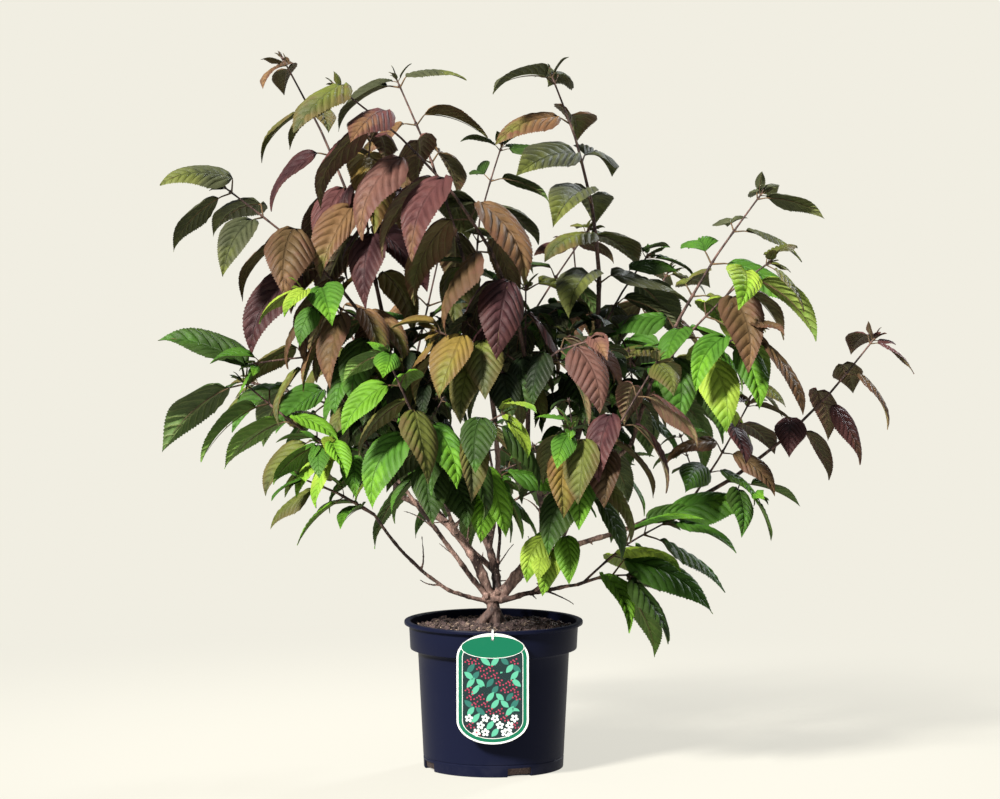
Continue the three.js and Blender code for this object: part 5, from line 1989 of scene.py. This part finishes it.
def stage_material(backdrop):
    """A pale floor that takes soft shadows near the pot and runs out into an even backdrop."""
    material = bpy.data.materials.new("floor")
    material.use_nodes = True
    graph = Graph(material.node_tree)
    away = graph.add("VectorMath", {0: graph.place((1, 1, 0))}, operation="LENGTH").outputs["Value"]
    far = graph.ramp(away, FLOOR.near, FLOOR.far)
    seen = graph.add("LightPath").outputs["Is Camera Ray"]
    light = graph.scaled(far, 1 - FLOOR.own_light, FLOOR.own_light)
    dim = graph.times(light, graph.ramp(seen, 0, 1, FLOOR.bounce, 1))
    glow = graph.add("Emission", {"Color": backdrop, "Strength": dim})
    paper = graph.add("BsdfDiffuse", {"Color": Vector(backdrop) * FLOOR.albedo})
    dark = graph.add("BsdfDiffuse", {"Color": (0, 0, 0)})
    cover = graph.add("MixShader", {0: far, 1: paper.outputs[0], 2: dark.outputs[0]})
    both = graph.add("AddShader", {0: glow.outputs[0], 1: cover.outputs[0]})
    graph.add("OutputMaterial", {"Surface": both.outputs[0]})
    return material


def light_world(backdrop, fill):
    """The camera sees the backdrop. All else is lit by a plain sky."""
    world = bpy.data.worlds.new("surroundings")
    world.use_nodes = True
    graph = Graph(world.node_tree)
    seen = graph.add("LightPath").outputs["Is Camera Ray"]
    behind = graph.add("Background", {"Color": backdrop, "Strength": 1.0})
    sky = graph.add("Background", {"Color": SKY, "Strength": fill})
    both = graph.add("MixShader", {0: seen, 1: sky.outputs[0], 2: behind.outputs[0]})
    graph.add("OutputWorld", {"Surface": both.outputs[0]})
    return world


class MakeStage(Operator):
    """Set the floor, the lights, the backdrop and the camera"""

    bl_idname = "viburnum.stage"
    bl_label = "Stage"

    def execute(self, context):
        look = context.scene.viburnum.stage
        bpy.ops.mesh.primitive_circle_add(vertices=96, radius=FLOOR.radius, fill_type="NGON")
        floor = context.object
        floor.name = "floor"
        floor.data.materials.append(stage_material(look.backdrop))
        for name, light in LIGHTS.items():
            lamp = bpy.data.lights.new(name, "SUN")
            lamp.energy = look.key * light.strength
            lamp.color = light.colour
            lamp.angle = look.softness
            linked(name, lamp).rotation_euler = Vector(light.way).to_track_quat("-Z", "Y").to_euler()
        context.scene.world = light_world(look.backdrop, look.fill)
        camera = linked("camera", bpy.data.cameras.new("camera"))
        camera.data.lens = CAMERA.lens
        camera.data.sensor_width = CAMERA.sensor
        camera.location = CAMERA.place
        camera.rotation_euler = (radians(90 - CAMERA.down), 0, 0)
        context.scene.camera = camera
        context.scene.view_settings.view_transform = "Standard"
        return {"FINISHED"}


OPERATORS = (MakeBark, MakeTwigs, MakeLeaves, MakePot, MakeCompost, MakeLabel, MakeStage)


class ViburnumPanel(Panel):
    """Lists the pieces of the shrub and their settings"""

    bl_idname = "VIEW3D_PT_viburnum"
    bl_label = "Viburnum"
    bl_space_type = "VIEW_3D"
    bl_region_type = "UI"
    bl_category = "Viburnum"

    def draw(self, context):
        for operator in OPERATORS:
            self.layout.operator(operator.bl_idname)
        for part, settings in SETTINGS.items():
            box = self.layout.box()
            box.label(text=settings.__doc__)
            for name in settings.__annotations__:
                box.prop(getattr(context.scene.viburnum, part), name)


CLASSES = (*SETTINGS.values(), ViburnumSettings, *OPERATORS, ViburnumPanel)


def register():
    for kind in CLASSES:
        bpy.utils.register_class(kind)
    bpy.types.Scene.viburnum = PointerProperty(type=ViburnumSettings)


def unregister():
    del bpy.types.Scene.viburnum
    for kind in reversed(CLASSES):
        bpy.utils.unregister_class(kind)


def main():
    register()
    bpy.ops.viburnum.stage()
    bpy.ops.viburnum.bark()
    bpy.ops.viburnum.twigs()
    bpy.ops.viburnum.leaves()
    bpy.ops.viburnum.pot()
    bpy.ops.viburnum.compost()
    bpy.ops.viburnum.label()


if __name__ == "__main__":
    main()
